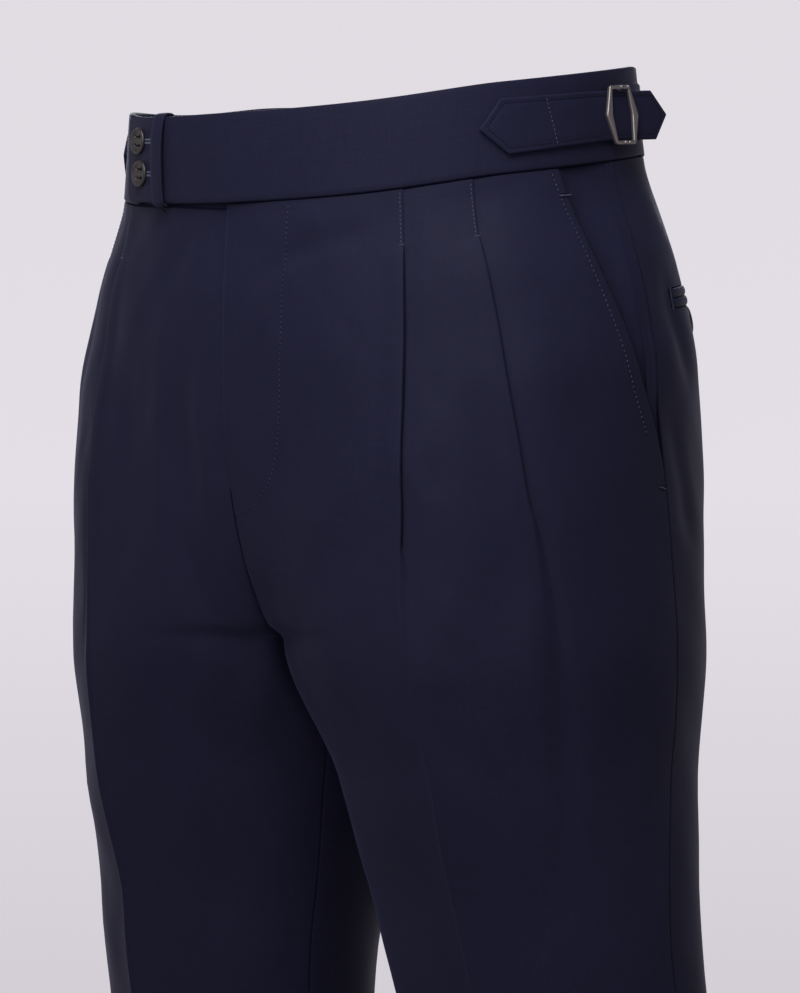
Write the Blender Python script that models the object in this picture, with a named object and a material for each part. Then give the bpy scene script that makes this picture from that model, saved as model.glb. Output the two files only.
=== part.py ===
"""Pleated dress trousers of wool suiting, in the hollow shape they have when worn.

Sizes are in millimetres and degrees; MM turns millimetres into Blender's metres. The origin is the middle
of the waist seam, +Z is up, the front faces -Y and the wearer's left is +X.

Every cloth piece is a wall on one form. A place on the form's left half is (s, h): h is the height above
the waist seam, and s runs round the half: 0 at the middle front (the inseam below the crotch), 0.5 at the
front crease, 1 at the side seam, 1.5 at the back crease and 2 at the middle back. The right half is the
left one mirrored.
"""
import math

import bpy
import numpy as np

MM = 0.001

# ---- Driving sizes, in millimetres ------------------------------------------------------------------
CLOTH = 1.2                 # wall of a single layer of suiting
BAND_CLOTH = 2.4            # waistband: two layers and their stiffening
STRAP_CLOTH = 2.0           # adjuster strap: two layers
SEAM_GAP = 0.3              # clearance between pieces that are sewn together
BAND_HEIGHT = 50.0
BAND_PROUD = 0.8            # how far the waistband stands out from the panels below it
CROTCH = -260.0             # height of the crotch point
HEM = -1030.0
LEG_CLEARANCE = 3.0         # least distance of a leg's cloth from the middle plane
LEG_ROUNDING = 4.0          # how softly the leg section is held back there
EDGE = 1e-6                 # how near a place s counts as on the form's edge

FLY_LAP = 10.0              # how far the right front runs on under the left one
FLY_DROP = 1.7              # how deep it lies there
FLY_LAP_END = -160.0        # below this height the lap has ended
FLY_DROP_END = -172.0       # below this height both fronts are level

POCKET_UNDERLAP = 10.0      # side pocket facing hidden under the front's slanted edge
POCKET_DROP = 1.7
POCKET_END = -176.0

BACK_POCKET = dict(front=1.1, back=1.5, top=-72.4, bottom=-83.2, slope=2.4, depth=1.2)
BACK_BUTTON = dict(place=1.3, below=9.5, diameter=16.0)

# How the waist departs from the level of its section. It dips in front and behind from a distance y on,
# and its right side lies lower behind the hip; all of it has faded out at the height FADE_END.
WAIST_DIPS = [dict(y=-55.0, full=-121.0, drop=4.0), dict(y=45.0, full=120.0, drop=7.8)]
RIGHT_DROP = dict(drop=8.0, first_y=-90.0, full_y=25.0, full_x=-80.0)
FADE_START, FADE_END = 0.0, -70.0
# Under the tab, the right side's waist hangs lower by drop at the middle front, as far round as x = reach.
FLY_DROOP = dict(drop=2.8, reach=-60.0, full_z=-22.0, end_z=-52.0)
# Near the waist the fly's edge stands off the middle plane by this much, over about width either side.
FLY_SHIFT = dict(by=-2.7, width=18.0, full_z=-20.0, end_z=-105.0)

TAB_END = -0.465            # place s of the tab's squared end, on the wearer's right
TAB_LIFT = 2.8              # the tab lies on top of the right waistband
TAB_RISE = 2.0              # how far its lower edge has risen above the waist seam at its end
TAB_RAMP = (40.0, -2.0)     # distances from the middle front between which the band lifts to the tab

KEEPER = dict(place=-0.279, width=11.0, cloth=1.5)
TAB_BUTTONS = [dict(name="upper", place=-0.391, height=36.3), dict(name="lower", place=-0.381, height=18.0)]

STRAP = dict(tip=0.664, lift=2.7, leaves=0.942, height=25.0, splay=5.0, pitch=4.5, cloth=STRAP_CLOTH)
BUCKLE = dict(along=16.5, half_height=16.4, half_middle=12.0, half_end=7.3, thick=2.2,
              opening_height=14.2, opening_middle=7.5, opening_end=6.1, bar_radius=0.9, bar_half=15.1,
              lug_in=14.0, lug_out=15.8, lug_half=1.8, gap=0.3)
LOOP = dict(first=1.02, last=1.2, width=32.0, cloth=1.2)


def smooth_slopes(x, y):
    """Slopes of a curve through (x, y) that never overshoots its points."""
    step = np.diff(x)
    rise = np.diff(y) / step
    slopes = np.zeros(len(x))
    for i in range(1, len(x) - 1):
        if rise[i - 1] * rise[i] > 0:
            before, after = 2 * step[i] + step[i - 1], step[i] + 2 * step[i - 1]
            slopes[i] = (before + after) / (before / rise[i - 1] + after / rise[i])
    slopes[0], slopes[-1] = rise[0], rise[-1]
    return slopes


class Table:
    """Rows of named sizes over height, joined by smooth curves."""

    def __init__(self, columns, rows):
        data = np.array(sorted(rows), float)
        self.height = data[:, 0]
        self.values = dict(zip(columns.split()[1:], data[:, 1:].T))
        self.slopes = {name: smooth_slopes(self.height, y) for name, y in self.values.items()}

    def __call__(self, name, h):
        x, y, m = self.height, self.values[name], self.slopes[name]
        h = np.clip(h, x[0], x[-1])
        i = np.clip(np.searchsorted(x, h, side="right") - 1, 0, len(x) - 2)
        step = x[i + 1] - x[i]
        t = (h - x[i]) / step
        return ((2 * t ** 3 - 3 * t ** 2 + 1) * y[i] + (t ** 3 - 2 * t ** 2 + t) * step * m[i]
                + (3 * t ** 2 - 2 * t ** 3) * y[i + 1] + (t ** 3 - t ** 2) * step * m[i + 1])


# ---- The form: sections of the body part and of one leg ---------------------------------------------
# Body section: an oval of half_width and front or back depth, with the angles of the creases and the
# side seam round it, and tilt, the rise of the section from front to back.
BODY = Table("height half_width front_depth back_depth crease side back_crease tilt", [
    (60.0, 155.5, 122.0, 119.0, 48.0, 96.0, 140.0, 0.14),
    (50.0, 157.0, 122.2, 119.3, 48.0, 96.0, 140.0, 0.14),
    (0.0, 163.5, 121.5, 121.5, 48.0, 95.0, 140.0, 0.14),
    (-6.0, 164.8, 121.7, 122.0, 48.0, 94.8, 140.0, 0.14),
    (-60.0, 186.5, 126.5, 131.0, 48.0, 92.5, 141.0, 0.115),
    (-120.0, 198.5, 129.0, 141.5, 48.0, 92.5, 142.0, 0.08),
    (-180.0, 198.5, 131.5, 153.0, 48.0, 94.5, 143.0, 0.04),
    (-260.0, 197.0, 128.0, 151.0, 43.5, 96.0, 144.0, 0.0),
    (-340.0, 192.0, 125.0, 140.0, 38.0, 95.0, 146.0, 0.0)])
OVAL_POWER = 2.1

# Leg section: an ellipse about (centre_x, centre_y), turned outwards by toe_out, with a pressed crease
# standing proud in front and behind.
LEG = Table("height centre_x centre_y half_width front_depth back_depth crease_rise toe_out", [
    (-100.0, 101.0, -1.5, 98.5, 120.0, 124.0, 6.0, 10.0),
    (-260.0, 87.5, -1.5, 119.0, 113.0, 119.0, 6.0, 18.5),
    (-340.0, 100.5, 5.0, 100.0, 102.0, 106.0, 6.0, 16.0),
    (-420.0, 116.0, 4.0, 93.0, 76.5, 80.5, 6.0, 10.5),
    (-520.0, 127.5, 16.0, 88.0, 66.5, 69.5, 6.5, 10.5),
    (-780.0, 146.0, 30.0, 74.0, 65.0, 68.0, 8.0, 9.5),
    (-1030.0, 160.0, 40.0, 62.0, 64.0, 66.0, 9.0, 9.0)])
INSEAM_ANGLE, SIDE_ANGLE = 8.0, 172.0
CREASE_SPREAD = 14.0

# How far the section has turned from body into leg, at the front edge, at the back edge and midway.
TURN = Table("height front back middle", [
    (50.0, 0, 0, 0), (-80.0, 0, 0, 0), (-120.0, 0.02, 0.04, 0.13), (-170.0, 0.11, 0.20, 0.41),
    (-215.0, 0.26, 0.42, 0.59), (-242.0, 0.47, 0.62, 0.77), (-256.0, 0.70, 0.82, 0.88),
    (-260.0, 1, 1, 0.90), (-285.0, 1, 1, 1), (-310.0, 1, 1, 1)])

# A pleat: its distance behind the crease, the cloth folded under (below zero the fold has opened into a
# groove that wide), the step from one layer to the next and how far its edge stands proud.
PLEATS = [
    Table("height place under step proud", [
        (0.0, 0, 15, 1.7, 0.6), (-32.0, 0, 15, 1.7, 0.6), (-38.0, 0, 14.5, 1.7, 1.2),
        (-70.0, 0, 12.5, 1.7, 1.8), (-112.0, 0, 9.5, 1.7, 1.9), (-158.0, 0, 6.5, 1.7, 1.6),
        (-203.0, 0, 3.5, 1.7, 1.2), (-215.0, 0, -3.0, 1.3, 1.0), (-245.0, 0, -6.0, 0.7, 0.5),
        (-292.0, 0, -8.0, 0, 0), (-345.0, 0, -8.0, 0, 0)]),
    Table("height place under step proud", [
        (0.0, 38.6, 15, 1.7, 0.6), (-32.0, 41.5, 15, 1.7, 0.6), (-38.0, 43.0, 14, 1.7, 1.1),
        (-70.0, 49.0, 11, 1.7, 1.4), (-112.0, 56.5, 8, 1.7, 1.4), (-158.0, 65.0, 5, 1.7, 1.2),
        (-178.0, 68.0, 3.0, 1.7, 1.1), (-190.0, 70.5, -0.8, 1.5, 1.0), (-203.0, 73.0, -3, 1.3, 0.9),
        (-245.0, 78.0, -6, 0.8, 0.6),
        (-315.0, 75.0, -8, 0, 0), (-450.0, 62.0, -8, 0, 0), (HEM, 48.0, -8, 0, 0)])]
PLEAT_RUN_IN, PLEAT_RUN_OUT = 13.0, 15.0

# The slanted side pocket: distance of the front's edge from the side seam.
SIDE_POCKET = Table("height inset", [
    (0.0, 43.5), (-41.0, 33.6), (-91.0, 20.5), (-140.0, 5.5), (-158.0, 2.0), (-171.0, 0), (-1030.0, 0)])

FRONT_ROWS = [0, -16, -32, -38, -52, -70, -90, -112, -135, -158, -168, -178, -190, -203, -215, -228,
              -238, -245, -251, -256, -260, -266, -276, -292, -315, -345, -390, -450, -520, -610,
              -720, -850, HEM]
BACK_ROWS = [0, -20, -45, BACK_POCKET["top"] + BACK_POCKET["slope"], BACK_POCKET["top"],
             BACK_POCKET["bottom"], BACK_POCKET["bottom"] - BACK_POCKET["slope"], -110, -135, -160,
             -185, -203, -215, -228, -238, -245, -251, -256, -260, -266, -276, -292, -315, -345,
             -390, -450, -520, -610, -720, -850, HEM]
FACING_ROWS = [0, -20, -45, -70, -90, -112, -135, -158, -168, POCKET_END]


def smoothstep(t):
    t = np.clip(t, 0, 1)
    return t * t * (3 - 2 * t)


def waist_dip(y, h):
    """How far the form lies below its level section at the distance y behind the middle."""
    fade = smoothstep((h - FADE_END) / (FADE_START - FADE_END))
    return fade * sum(dip["drop"] * smoothstep((y - dip["y"]) / (dip["full"] - dip["y"]))
                      for dip in WAIST_DIPS)


def body_section(s, h):
    angle = np.radians(np.select(
        [s < 0.5, s < 1.0, s < 1.5],
        [2 * s * BODY("crease", h),
         BODY("crease", h) + (2 * s - 1) * (BODY("side", h) - BODY("crease", h)),
         BODY("side", h) + (2 * s - 2) * (BODY("back_crease", h) - BODY("side", h))],
        BODY("back_crease", h) + (2 * s - 3) * (180 - BODY("back_crease", h))))
    across, forward = np.sin(angle), np.cos(angle)
    depth = np.where(forward > 0, BODY("front_depth", h), BODY("back_depth", h))
    radius = (np.abs(across / BODY("half_width", h)) ** OVAL_POWER
              + np.abs(forward / depth) ** OVAL_POWER) ** (-1 / OVAL_POWER)
    return radius * across, -radius * forward


def leg_section(s, h):
    degrees = np.where(s < 1, INSEAM_ANGLE + (SIDE_ANGLE - INSEAM_ANGLE) * s,
                       SIDE_ANGLE + (360 + INSEAM_ANGLE - SIDE_ANGLE) * (s - 1))
    angle, turn = np.radians(degrees), np.radians(LEG("toe_out", h))
    inward, forward = np.cos(angle), np.sin(angle)
    depth = np.where(forward > 0, LEG("front_depth", h), LEG("back_depth", h))
    radius = ((inward / LEG("half_width", h)) ** 2 + (forward / depth) ** 2) ** -0.5
    radius = radius + LEG("crease_rise", h) * (np.exp(-np.abs(degrees - 90) / CREASE_SPREAD)
                                               + np.exp(-np.abs(degrees - 270) / CREASE_SPREAD))
    x = -inward * np.cos(turn) + forward * np.sin(turn)
    y = -inward * np.sin(turn) - forward * np.cos(turn)
    return LEG("centre_x", h) + radius * x, LEG("centre_y", h) + radius * y


def clear_of_middle(x):
    past = x - LEG_CLEARANCE
    return LEG_CLEARANCE + 0.5 * (past + np.sqrt(past ** 2 + LEG_ROUNDING ** 2))


def form(s, h, joined):
    """Points of the form's left half. Where joined, its two edges lie on the middle plane."""
    s, h = np.broadcast_arrays(np.asarray(s, float), np.asarray(h, float))
    mirrored = ((s < -EDGE) | (s > 2 + EDGE)) & joined
    s = np.where(joined, np.where(s < 0, -s, np.where(s > 2, 4 - s, s)), s % 2.0 + 2.0 * (s == 2))
    edge_turn = np.where(s < 1, TURN("front", h), TURN("back", h))
    from_edge = np.clip(np.minimum(s, 2 - s) / 0.5, 0, 1)
    turn = edge_turn + (TURN("middle", h) - edge_turn) * smoothstep(from_edge)
    body_x, body_y = body_section(s, h)
    leg_x, leg_y = leg_section(s, h)
    x = clear_of_middle((1 - turn) * body_x + turn * leg_x)
    y = (1 - turn) * body_y + turn * leg_y
    edge_x = clear_of_middle(edge_turn * leg_section(np.where(s < 1, 0.0, 2.0), h)[0])
    x = np.where(joined, x - (edge_x - SEAM_GAP / 2) * (1 - from_edge) ** 2, x)
    return np.stack([np.where(mirrored, -x, x), y, h + BODY("tilt", h) * y - waist_dip(y, h)], -1)


def outward(s, h, joined):
    """Unit normals of the form, level with the middle plane along its joined edges."""
    ds, dh = 0.002, 1.0
    along = form(s + ds, h, joined) - form(s - ds, h, joined)
    up = form(s, h + dh, joined) - form(s, h - dh, joined)
    normal = np.cross(along, up)
    at_crotch = joined & (h < CROTCH + dh) & (np.minimum(s, 2 - s) < 0.01)
    normal[at_crotch] = (0, 0, -1)
    return normal / np.linalg.norm(normal, axis=-1, keepdims=True)


def on_form(s, h, lift):
    """Points that stand lift millimetres out from the form."""
    s, h, lift = np.broadcast_arrays(np.asarray(s, float), np.asarray(h, float), np.asarray(lift, float))
    joined = h >= CROTCH
    return form(s, h, joined) + outward(s, h, joined) * lift[..., None]


class Row:
    """One level row of the form, with distances measured along it."""
    SAMPLES = np.linspace(-0.6, 2.0, 521)

    def __init__(self, h):
        self.h = h
        points = form(self.SAMPLES, h, h >= CROTCH)
        steps = np.linalg.norm(np.diff(points, axis=0), axis=1)
        self.reach = np.concatenate([[0], np.cumsum(steps)])

    def distance(self, s_from, s_to):
        return float(np.interp(s_to, self.SAMPLES, self.reach) - np.interp(s_from, self.SAMPLES, self.reach))

    def place(self, s_from, distance):
        start = np.interp(s_from, self.SAMPLES, self.reach)
        return np.interp(start + distance, self.reach, self.SAMPLES)


# ---- Meshes -----------------------------------------------------------------------------------------
def right_drop(verts):
    """How far points (in millimetres) of the waist's right side lie below their twins on the left."""
    x, y, z = verts.T
    fade = smoothstep((z - FADE_END) / (FADE_START - FADE_END))
    behind = smoothstep((y - RIGHT_DROP["first_y"]) / (RIGHT_DROP["full_y"] - RIGHT_DROP["first_y"]))
    return RIGHT_DROP["drop"] * fade * behind * smoothstep(x / RIGHT_DROP["full_x"])


def fly_droop(verts):
    """How far the right side's pieces hang lower under the tab."""
    x, y, z = verts.T
    size = FLY_DROOP
    fade = smoothstep((z - size["end_z"]) / (size["full_z"] - size["end_z"])) * (y < 0)
    return size["drop"] * fade * smoothstep(1 - x / size["reach"])


def fly_shift(verts):
    """How far points near the fly's edge are moved to the side."""
    x, y, z = verts.T
    size = FLY_SHIFT
    fade = smoothstep((z - size["end_z"]) / (size["full_z"] - size["end_z"])) * (y < 0)
    return size["by"] * fade * np.exp(-(x / size["width"]) ** 2)


def add_object(name, verts, faces, finish, mirror=False):
    """Make one closed object; mirror turns a left piece into its right twin."""
    verts = np.array(verts, float)
    if mirror:
        verts[:, 0] *= -1
        faces = [tuple(reversed(face)) for face in faces]
        verts[:, 2] -= fly_droop(verts)
    verts[:, 2] -= right_drop(verts)
    verts[:, 0] += fly_shift(verts)
    verts *= MM
    mesh = bpy.data.meshes.new(name)
    mesh.from_pydata(verts.tolist(), [], faces)
    obj = bpy.data.objects.new(name, mesh)
    bpy.context.scene.collection.objects.link(obj)
    material = bpy.data.materials.new(name)
    material.use_nodes = True
    shader = material.node_tree.nodes["Principled BSDF"]
    shader.inputs["Base Color"].default_value = (*finish["color"], 1)
    shader.inputs["Roughness"].default_value = finish["roughness"]
    shader.inputs["Metallic"].default_value = finish["metallic"]
    mesh.materials.append(material)
    return obj


WOOL = dict(color=(0.020, 0.021, 0.042), roughness=0.8, metallic=0.0)
BUTTON = dict(color=(0.030, 0.022, 0.022), roughness=0.35, metallic=0.0)
GUNMETAL = dict(color=(0.16, 0.14, 0.14), roughness=0.3, metallic=1.0)


def wall(face, back):
    """Close a wall between two grids of points, rows by columns; the face side looks outwards."""
    rows, columns = face.shape[:2]
    verts = np.concatenate([face.reshape(-1, 3), back.reshape(-1, 3)])

    def f(r, c):
        return r * columns + c

    def b(r, c):
        return rows * columns + r * columns + c

    faces = []
    for r in range(rows - 1):
        for c in range(columns - 1):
            faces.append((f(r, c), f(r + 1, c), f(r + 1, c + 1), f(r, c + 1)))
            faces.append((b(r, c), b(r, c + 1), b(r + 1, c + 1), b(r + 1, c)))
    last_row, last_column = rows - 1, columns - 1
    for r in range(last_row):
        faces.append((f(r, 0), b(r, 0), b(r + 1, 0), f(r + 1, 0)))
        faces.append((f(r, last_column), f(r + 1, last_column), b(r + 1, last_column), b(r, last_column)))
    for c in range(last_column):
        faces.append((f(0, c), f(0, c + 1), b(0, c + 1), b(0, c)))
        faces.append((f(last_row, c), b(last_row, c), b(last_row, c + 1), f(last_row, c + 1)))
    return verts, faces


def tube(rings):
    """Close a run of equal rings of points into one body; each ring turns against the run's direction."""
    count = len(rings[0])
    verts = np.concatenate(rings)
    faces = [tuple(range(count)), tuple(reversed(range(len(verts) - count, len(verts))))]
    for r in range(len(rings) - 1):
        for c in range(count):
            n = (c + 1) % count
            faces.append((r * count + c, (r + 1) * count + c, (r + 1) * count + n, r * count + n))
    return verts, faces


def both_sides(path, thickness):
    """Offset a centreline of (u, v) points to its outer and its inner side, with mitred corners."""
    path = np.array(path, float)
    along = np.diff(path, axis=0)
    along /= np.linalg.norm(along, axis=1)[:, None]
    side = np.stack([-along[:, 1], along[:, 0]], 1)
    before, after = np.vstack([side[:1], side]), np.vstack([side, side[-1:]])
    mitre = (before + after) / (1 + np.sum(before * after, axis=1))[:, None] * thickness / 2
    return path + mitre, path - mitre


def cloth_row(row, start, path):
    """Put one row's centreline on the form: u runs from s = start and v stands out from the cloth's place."""
    path = [(u, v - CLOTH / 2) for u, v in path]
    return [on_form(row.place(start, side[:, 0]), row.h, side[:, 1]) for side in both_sides(path, CLOTH)]


def seamed(h, first, last):
    """Heights of a piece's rows, held clear of the seams or edges at its ends."""
    return [h_ - SEAM_GAP / 2 if h_ == first else h_ + (SEAM_GAP / 2 if h_ == last != HEM else 0) for h_ in h]


# ---- Panels -----------------------------------------------------------------------------------------
def pleat_path(u0, under, step, proud):
    """Centreline across a pleat whose edge is at u0: over, back under it and forward again."""
    edge = u0 - CLOTH / 2
    opening = CLOTH - under
    run_in = [(u0 - PLEAT_RUN_IN, 0), (u0 - PLEAT_RUN_IN / 2, 0.75 * proud)]
    if opening < 0:
        inner = np.interp(edge + opening, *zip(*run_in, (edge, proud)))
        corners = [(edge, proud), (edge, proud - step), (edge + opening, inner - step),
                   (edge + opening, inner - 2 * step)]
        level_to = u0 + 1.0
    else:
        corners = [(edge + opening * part, proud - 2 * step * part) for part in (0, 0.33, 0.67, 1)]
        level_to = edge + opening + 1.5
    end = u0 + PLEAT_RUN_OUT
    low = proud - 2 * step
    return run_in + corners + [(level_to, low), (0.55 * level_to + 0.45 * end, 0.45 * low), (end, 0)]


def front_row(h, lapped):
    """One row of a front panel; lapped is the right front, which runs on under the left one at the fly."""
    row = Row(h)
    middle = -row.distance(0, 0.5)
    if h < CROTCH + 0.5:
        middle += SEAM_GAP / 2
    edge = row.distance(0.5, 1) - max(SIDE_POCKET("inset", h), SEAM_GAP / 2)
    drop = FLY_DROP if lapped and h > FLY_DROP_END else 0
    lap = FLY_LAP if lapped and h > FLY_LAP_END else 0
    path = [(middle - lap, -drop), (middle + 4, -drop), (middle + 13, 0)]
    first, second = [(float(p("place", h)), p("under", h), p("step", h), p("proud", h)) for p in PLEATS]
    start = first[0] - PLEAT_RUN_IN
    path += [(middle + 13 + (start - middle - 13) * part, 0) for part in (0.22, 0.46, 0.72)]
    path += pleat_path(*first)
    between = 0.5 * (first[0] + PLEAT_RUN_OUT + second[0] - PLEAT_RUN_IN)
    path += [(between, 0)] + pleat_path(*second)
    rest, lapping = second[0] + PLEAT_RUN_OUT, edge - POCKET_UNDERLAP
    path += [(rest + (lapping - rest) * part, 0) for part in (0.36, 0.72, 1)]
    path += [(edge - POCKET_UNDERLAP / 2, 0), (edge, 0)]
    return cloth_row(row, 0.5, path)


def add_front(name, mirror):
    rows = [front_row(h, lapped=mirror) for h in seamed(FRONT_ROWS, 0, HEM)]
    verts, faces = wall(np.array([r[0] for r in rows]), np.array([r[1] for r in rows]))
    return add_object(name, verts, faces, WOOL, mirror)


def add_facing(name, mirror):
    """The cloth behind the slanted pocket: under the front's edge, then level with it to the side seam."""
    rows = []
    for h in seamed(FACING_ROWS, 0, None):
        row = Row(h)
        inset = float(SIDE_POCKET("inset", h))
        side = row.distance(0.5, 1) - SEAM_GAP / 2
        edge = side - max(inset - SEAM_GAP / 2, 0)
        level = -POCKET_DROP * (1 - smoothstep(inset / 12.0))
        rise_from = edge - 1.0
        path = [(edge - POCKET_UNDERLAP, -POCKET_DROP), (edge - POCKET_UNDERLAP / 2, -POCKET_DROP),
                (rise_from, -POCKET_DROP)]
        path += [(rise_from + (side - rise_from) * part, -POCKET_DROP + (level + POCKET_DROP) * part ** 2)
                 for part in (0.25, 0.5, 0.75, 1)]
        rows.append(cloth_row(row, 0.5, path))
    verts, faces = wall(np.array([r[0] for r in rows]), np.array([r[1] for r in rows]))
    return add_object(name, verts, faces, WOOL, mirror)


def add_back(name, mirror):
    """A back panel, sunk where the jetted pocket's two strips lie."""
    pocket = BACK_POCKET
    slope = 0.008
    columns = [1, 1.045, pocket["front"] - slope, *np.linspace(pocket["front"], pocket["back"], 8),
               pocket["back"] + slope, 1.57, 1.65, 1.73, 1.81, 1.9, 1.96, 2]
    face, back = [], []
    for h in seamed(BACK_ROWS, 0, HEM):
        row = Row(h)
        s = np.array(columns)
        s[0] = row.place(1, SEAM_GAP / 2)
        if h < CROTCH + 0.5:
            s[-1] = row.place(2, -SEAM_GAP / 2)
        sunk = (s > pocket["front"] - slope / 2) & (s < pocket["back"] + slope / 2)
        sunk = sunk & (pocket["bottom"] <= h <= pocket["top"])
        face.append(on_form(s, h, -pocket["depth"] * sunk))
        back.append(on_form(s, h, -pocket["depth"] * sunk - CLOTH))
    verts, faces = wall(np.array(face), np.array(back))
    return add_object(name, verts, faces, WOOL, mirror)


def add_jet(name, top, bottom, mirror):
    """One folded strip of a jetted pocket, lying in the back panel's sunk place."""
    pocket = BACK_POCKET
    s = np.linspace(pocket["front"] + 0.002, pocket["back"] - 0.002, 15)
    heights = [top, 0.5 * (top + bottom), bottom]
    lifts = [0.3, 1.0, 0.3]
    under = SEAM_GAP - pocket["depth"]
    verts, faces = wall(np.array([on_form(s, h, v) for h, v in zip(heights, lifts)]),
                        np.array([on_form(s, h, under) for h in heights]))
    return add_object(name, verts, faces, WOOL, mirror)


# ---- Waistband --------------------------------------------------------------------------------------
def band_ring(s, h_low, lift):
    """Section of the waistband at s: outer face, rounded top edge, inner face."""
    outer, inner = BAND_PROUD + lift, BAND_PROUD + lift - BAND_CLOTH
    top = BAND_HEIGHT
    section = [(h_low, outer), (top - 0.8, outer), (top, outer - 0.5), (top, inner + 0.5),
               (top - 0.8, inner), (h_low, inner)]
    return np.array([on_form(s, h, v) for h, v in section])


def add_waistband_left(name):
    """The left band runs on past the middle front as the buttoned tab, over the right band."""
    middle = Row(BAND_HEIGHT / 2)
    ramp_in, ramp_out = (middle.place(0, d) for d in TAB_RAMP)
    places = np.concatenate([np.linspace(TAB_END, ramp_out - 0.02, 9), np.linspace(ramp_out, ramp_in, 6),
                             np.linspace(0.22, 2, 31)])
    rings = []
    for s in places:
        lift = TAB_LIFT * smoothstep((ramp_in - s) / (ramp_in - ramp_out))
        low = SEAM_GAP / 2 + TAB_RISE * max((ramp_out - s) / (ramp_out - TAB_END), 0)
        rings.append(band_ring(s, low, lift))
    verts, faces = tube(rings)
    return add_object(name, verts, faces, WOOL)


def add_waistband_right(name):
    start = Row(BAND_HEIGHT / 2).place(0, 4.0)
    rings = [band_ring(s, SEAM_GAP / 2, 0) for s in np.linspace(start, 2, 35)]
    verts, faces = tube(rings)
    return add_object(name, verts, faces, WOOL, mirror=True)


def add_keeper(name):
    """Narrow loop that holds the tab: from behind the band over its top edge and down to the seam."""
    path = [(42.0, -2.7), (50.0, -2.7), (51.3, -1.4), (51.5, 1.6), (50.3, 4.4), (44.0, 5.8), (36.0, 6.7),
            (26.0, 7.0), (14.0, 6.7), (5.0, 6.0), (1.3, 5.5), (0.1, 4.2), (0.0, 2.6)]
    outer, inner = both_sides(path, KEEPER["cloth"])
    half = KEEPER["width"] / 2
    row = Row(BAND_HEIGHT / 2)
    left, right = (row.place(KEEPER["place"], d) for d in (-half, half))
    rings = [np.array([on_form(left, *o), on_form(right, *o), on_form(right, *i), on_form(left, *i)])
             for o, i in zip(inner, outer)]
    verts, faces = tube(rings)
    return add_object(name, verts, faces, WOOL)


# ---- Buttons ----------------------------------------------------------------------------------------
def frame_at(s, h, lift):
    """Origin and axes (along the row, up, outward) of a place on the form."""
    origin = on_form(s, h, lift)
    normal = on_form(s, h, lift + 1) - origin
    along = on_form(s + 0.001, h, lift) - origin
    along = along - normal * np.dot(along, normal)
    along /= np.linalg.norm(along)
    return origin, along, np.cross(normal, along), normal


def add_button(name, s, h, lift, diameter, mirror=False):
    """A turned button with a raised rim round a sunk middle."""
    origin, along, up, normal = frame_at(s, h, lift)
    radius = diameter / 2
    profile = [(0.55, 0.0), (0.88, 0.5), (1.0, 1.4), (0.97, 2.3), (0.85, 2.7), (0.68, 2.2), (0.55, 1.7)]
    sides = 16
    rings = []
    for part, height in profile:
        turns = np.linspace(0, 2 * math.pi, sides, endpoint=False)
        rings.append(np.array([origin + radius * part * (math.cos(a) * along - math.sin(a) * up)
                               + height * normal for a in turns]))
    verts, faces = tube(rings)
    return add_object(name, verts, faces, BUTTON, mirror)


# ---- Side adjusters ---------------------------------------------------------------------------------
def strap_frame(distance):
    """Origin and axes (along, up, outward) of the free strap, distance past where it leaves the band."""
    origin, along, up, normal = frame_at(STRAP["leaves"], STRAP["height"], STRAP["lift"])
    turn, pitch = math.radians(STRAP["splay"]), math.radians(STRAP["pitch"])
    ahead = along * math.cos(turn) + normal * math.sin(turn)
    out = normal * math.cos(turn) - along * math.sin(turn)
    down = ahead * math.cos(pitch) - up * math.sin(pitch)
    return origin + down * distance, down, up * math.cos(pitch) + ahead * math.sin(pitch), out


# Free part of the strap: distance past where it leaves the band, and half its width there.
STRAP_FREE = [(6.0, 14.0), (14.0, 13.7), (28.0, 13.7), (43.0, 13.7), (53.0, 0.8)]
# Sewn part: distance behind the tip, and half its width.
STRAP_SEWN = [(0.0, 0.8), (13.8, 15.5), (25.0, 15.2), (36.0, 14.9), (47.0, 14.6), (58.0, 14.3)]


def add_strap(name, mirror):
    """Adjuster strap, pointed at both ends: sewn to the band in front, free behind the buckle."""
    thick = STRAP["cloth"] / 2
    corners = [(-1, 1), (1, 1), (1, -1), (-1, -1)]
    row = Row(STRAP["height"])
    lean = float(BODY("tilt", STRAP["height"]))
    sewn = STRAP_SEWN + [(row.distance(STRAP["tip"], STRAP["leaves"]), 14.1)]
    rings = []
    for distance, half in sewn:
        rings.append(np.array([on_form(row.place(STRAP["tip"], distance - lean * half * a),
                                       STRAP["height"] + half * a, STRAP["lift"] + thick * b)
                               for a, b in corners]))
    for distance, half in STRAP_FREE:
        origin, _, up, normal = strap_frame(distance)
        rings.append(np.array([origin + half * a * up + thick * b * normal for a, b in corners]))
    verts, faces = tube(rings)
    return add_object(name, verts, faces, WOOL, mirror)


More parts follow.
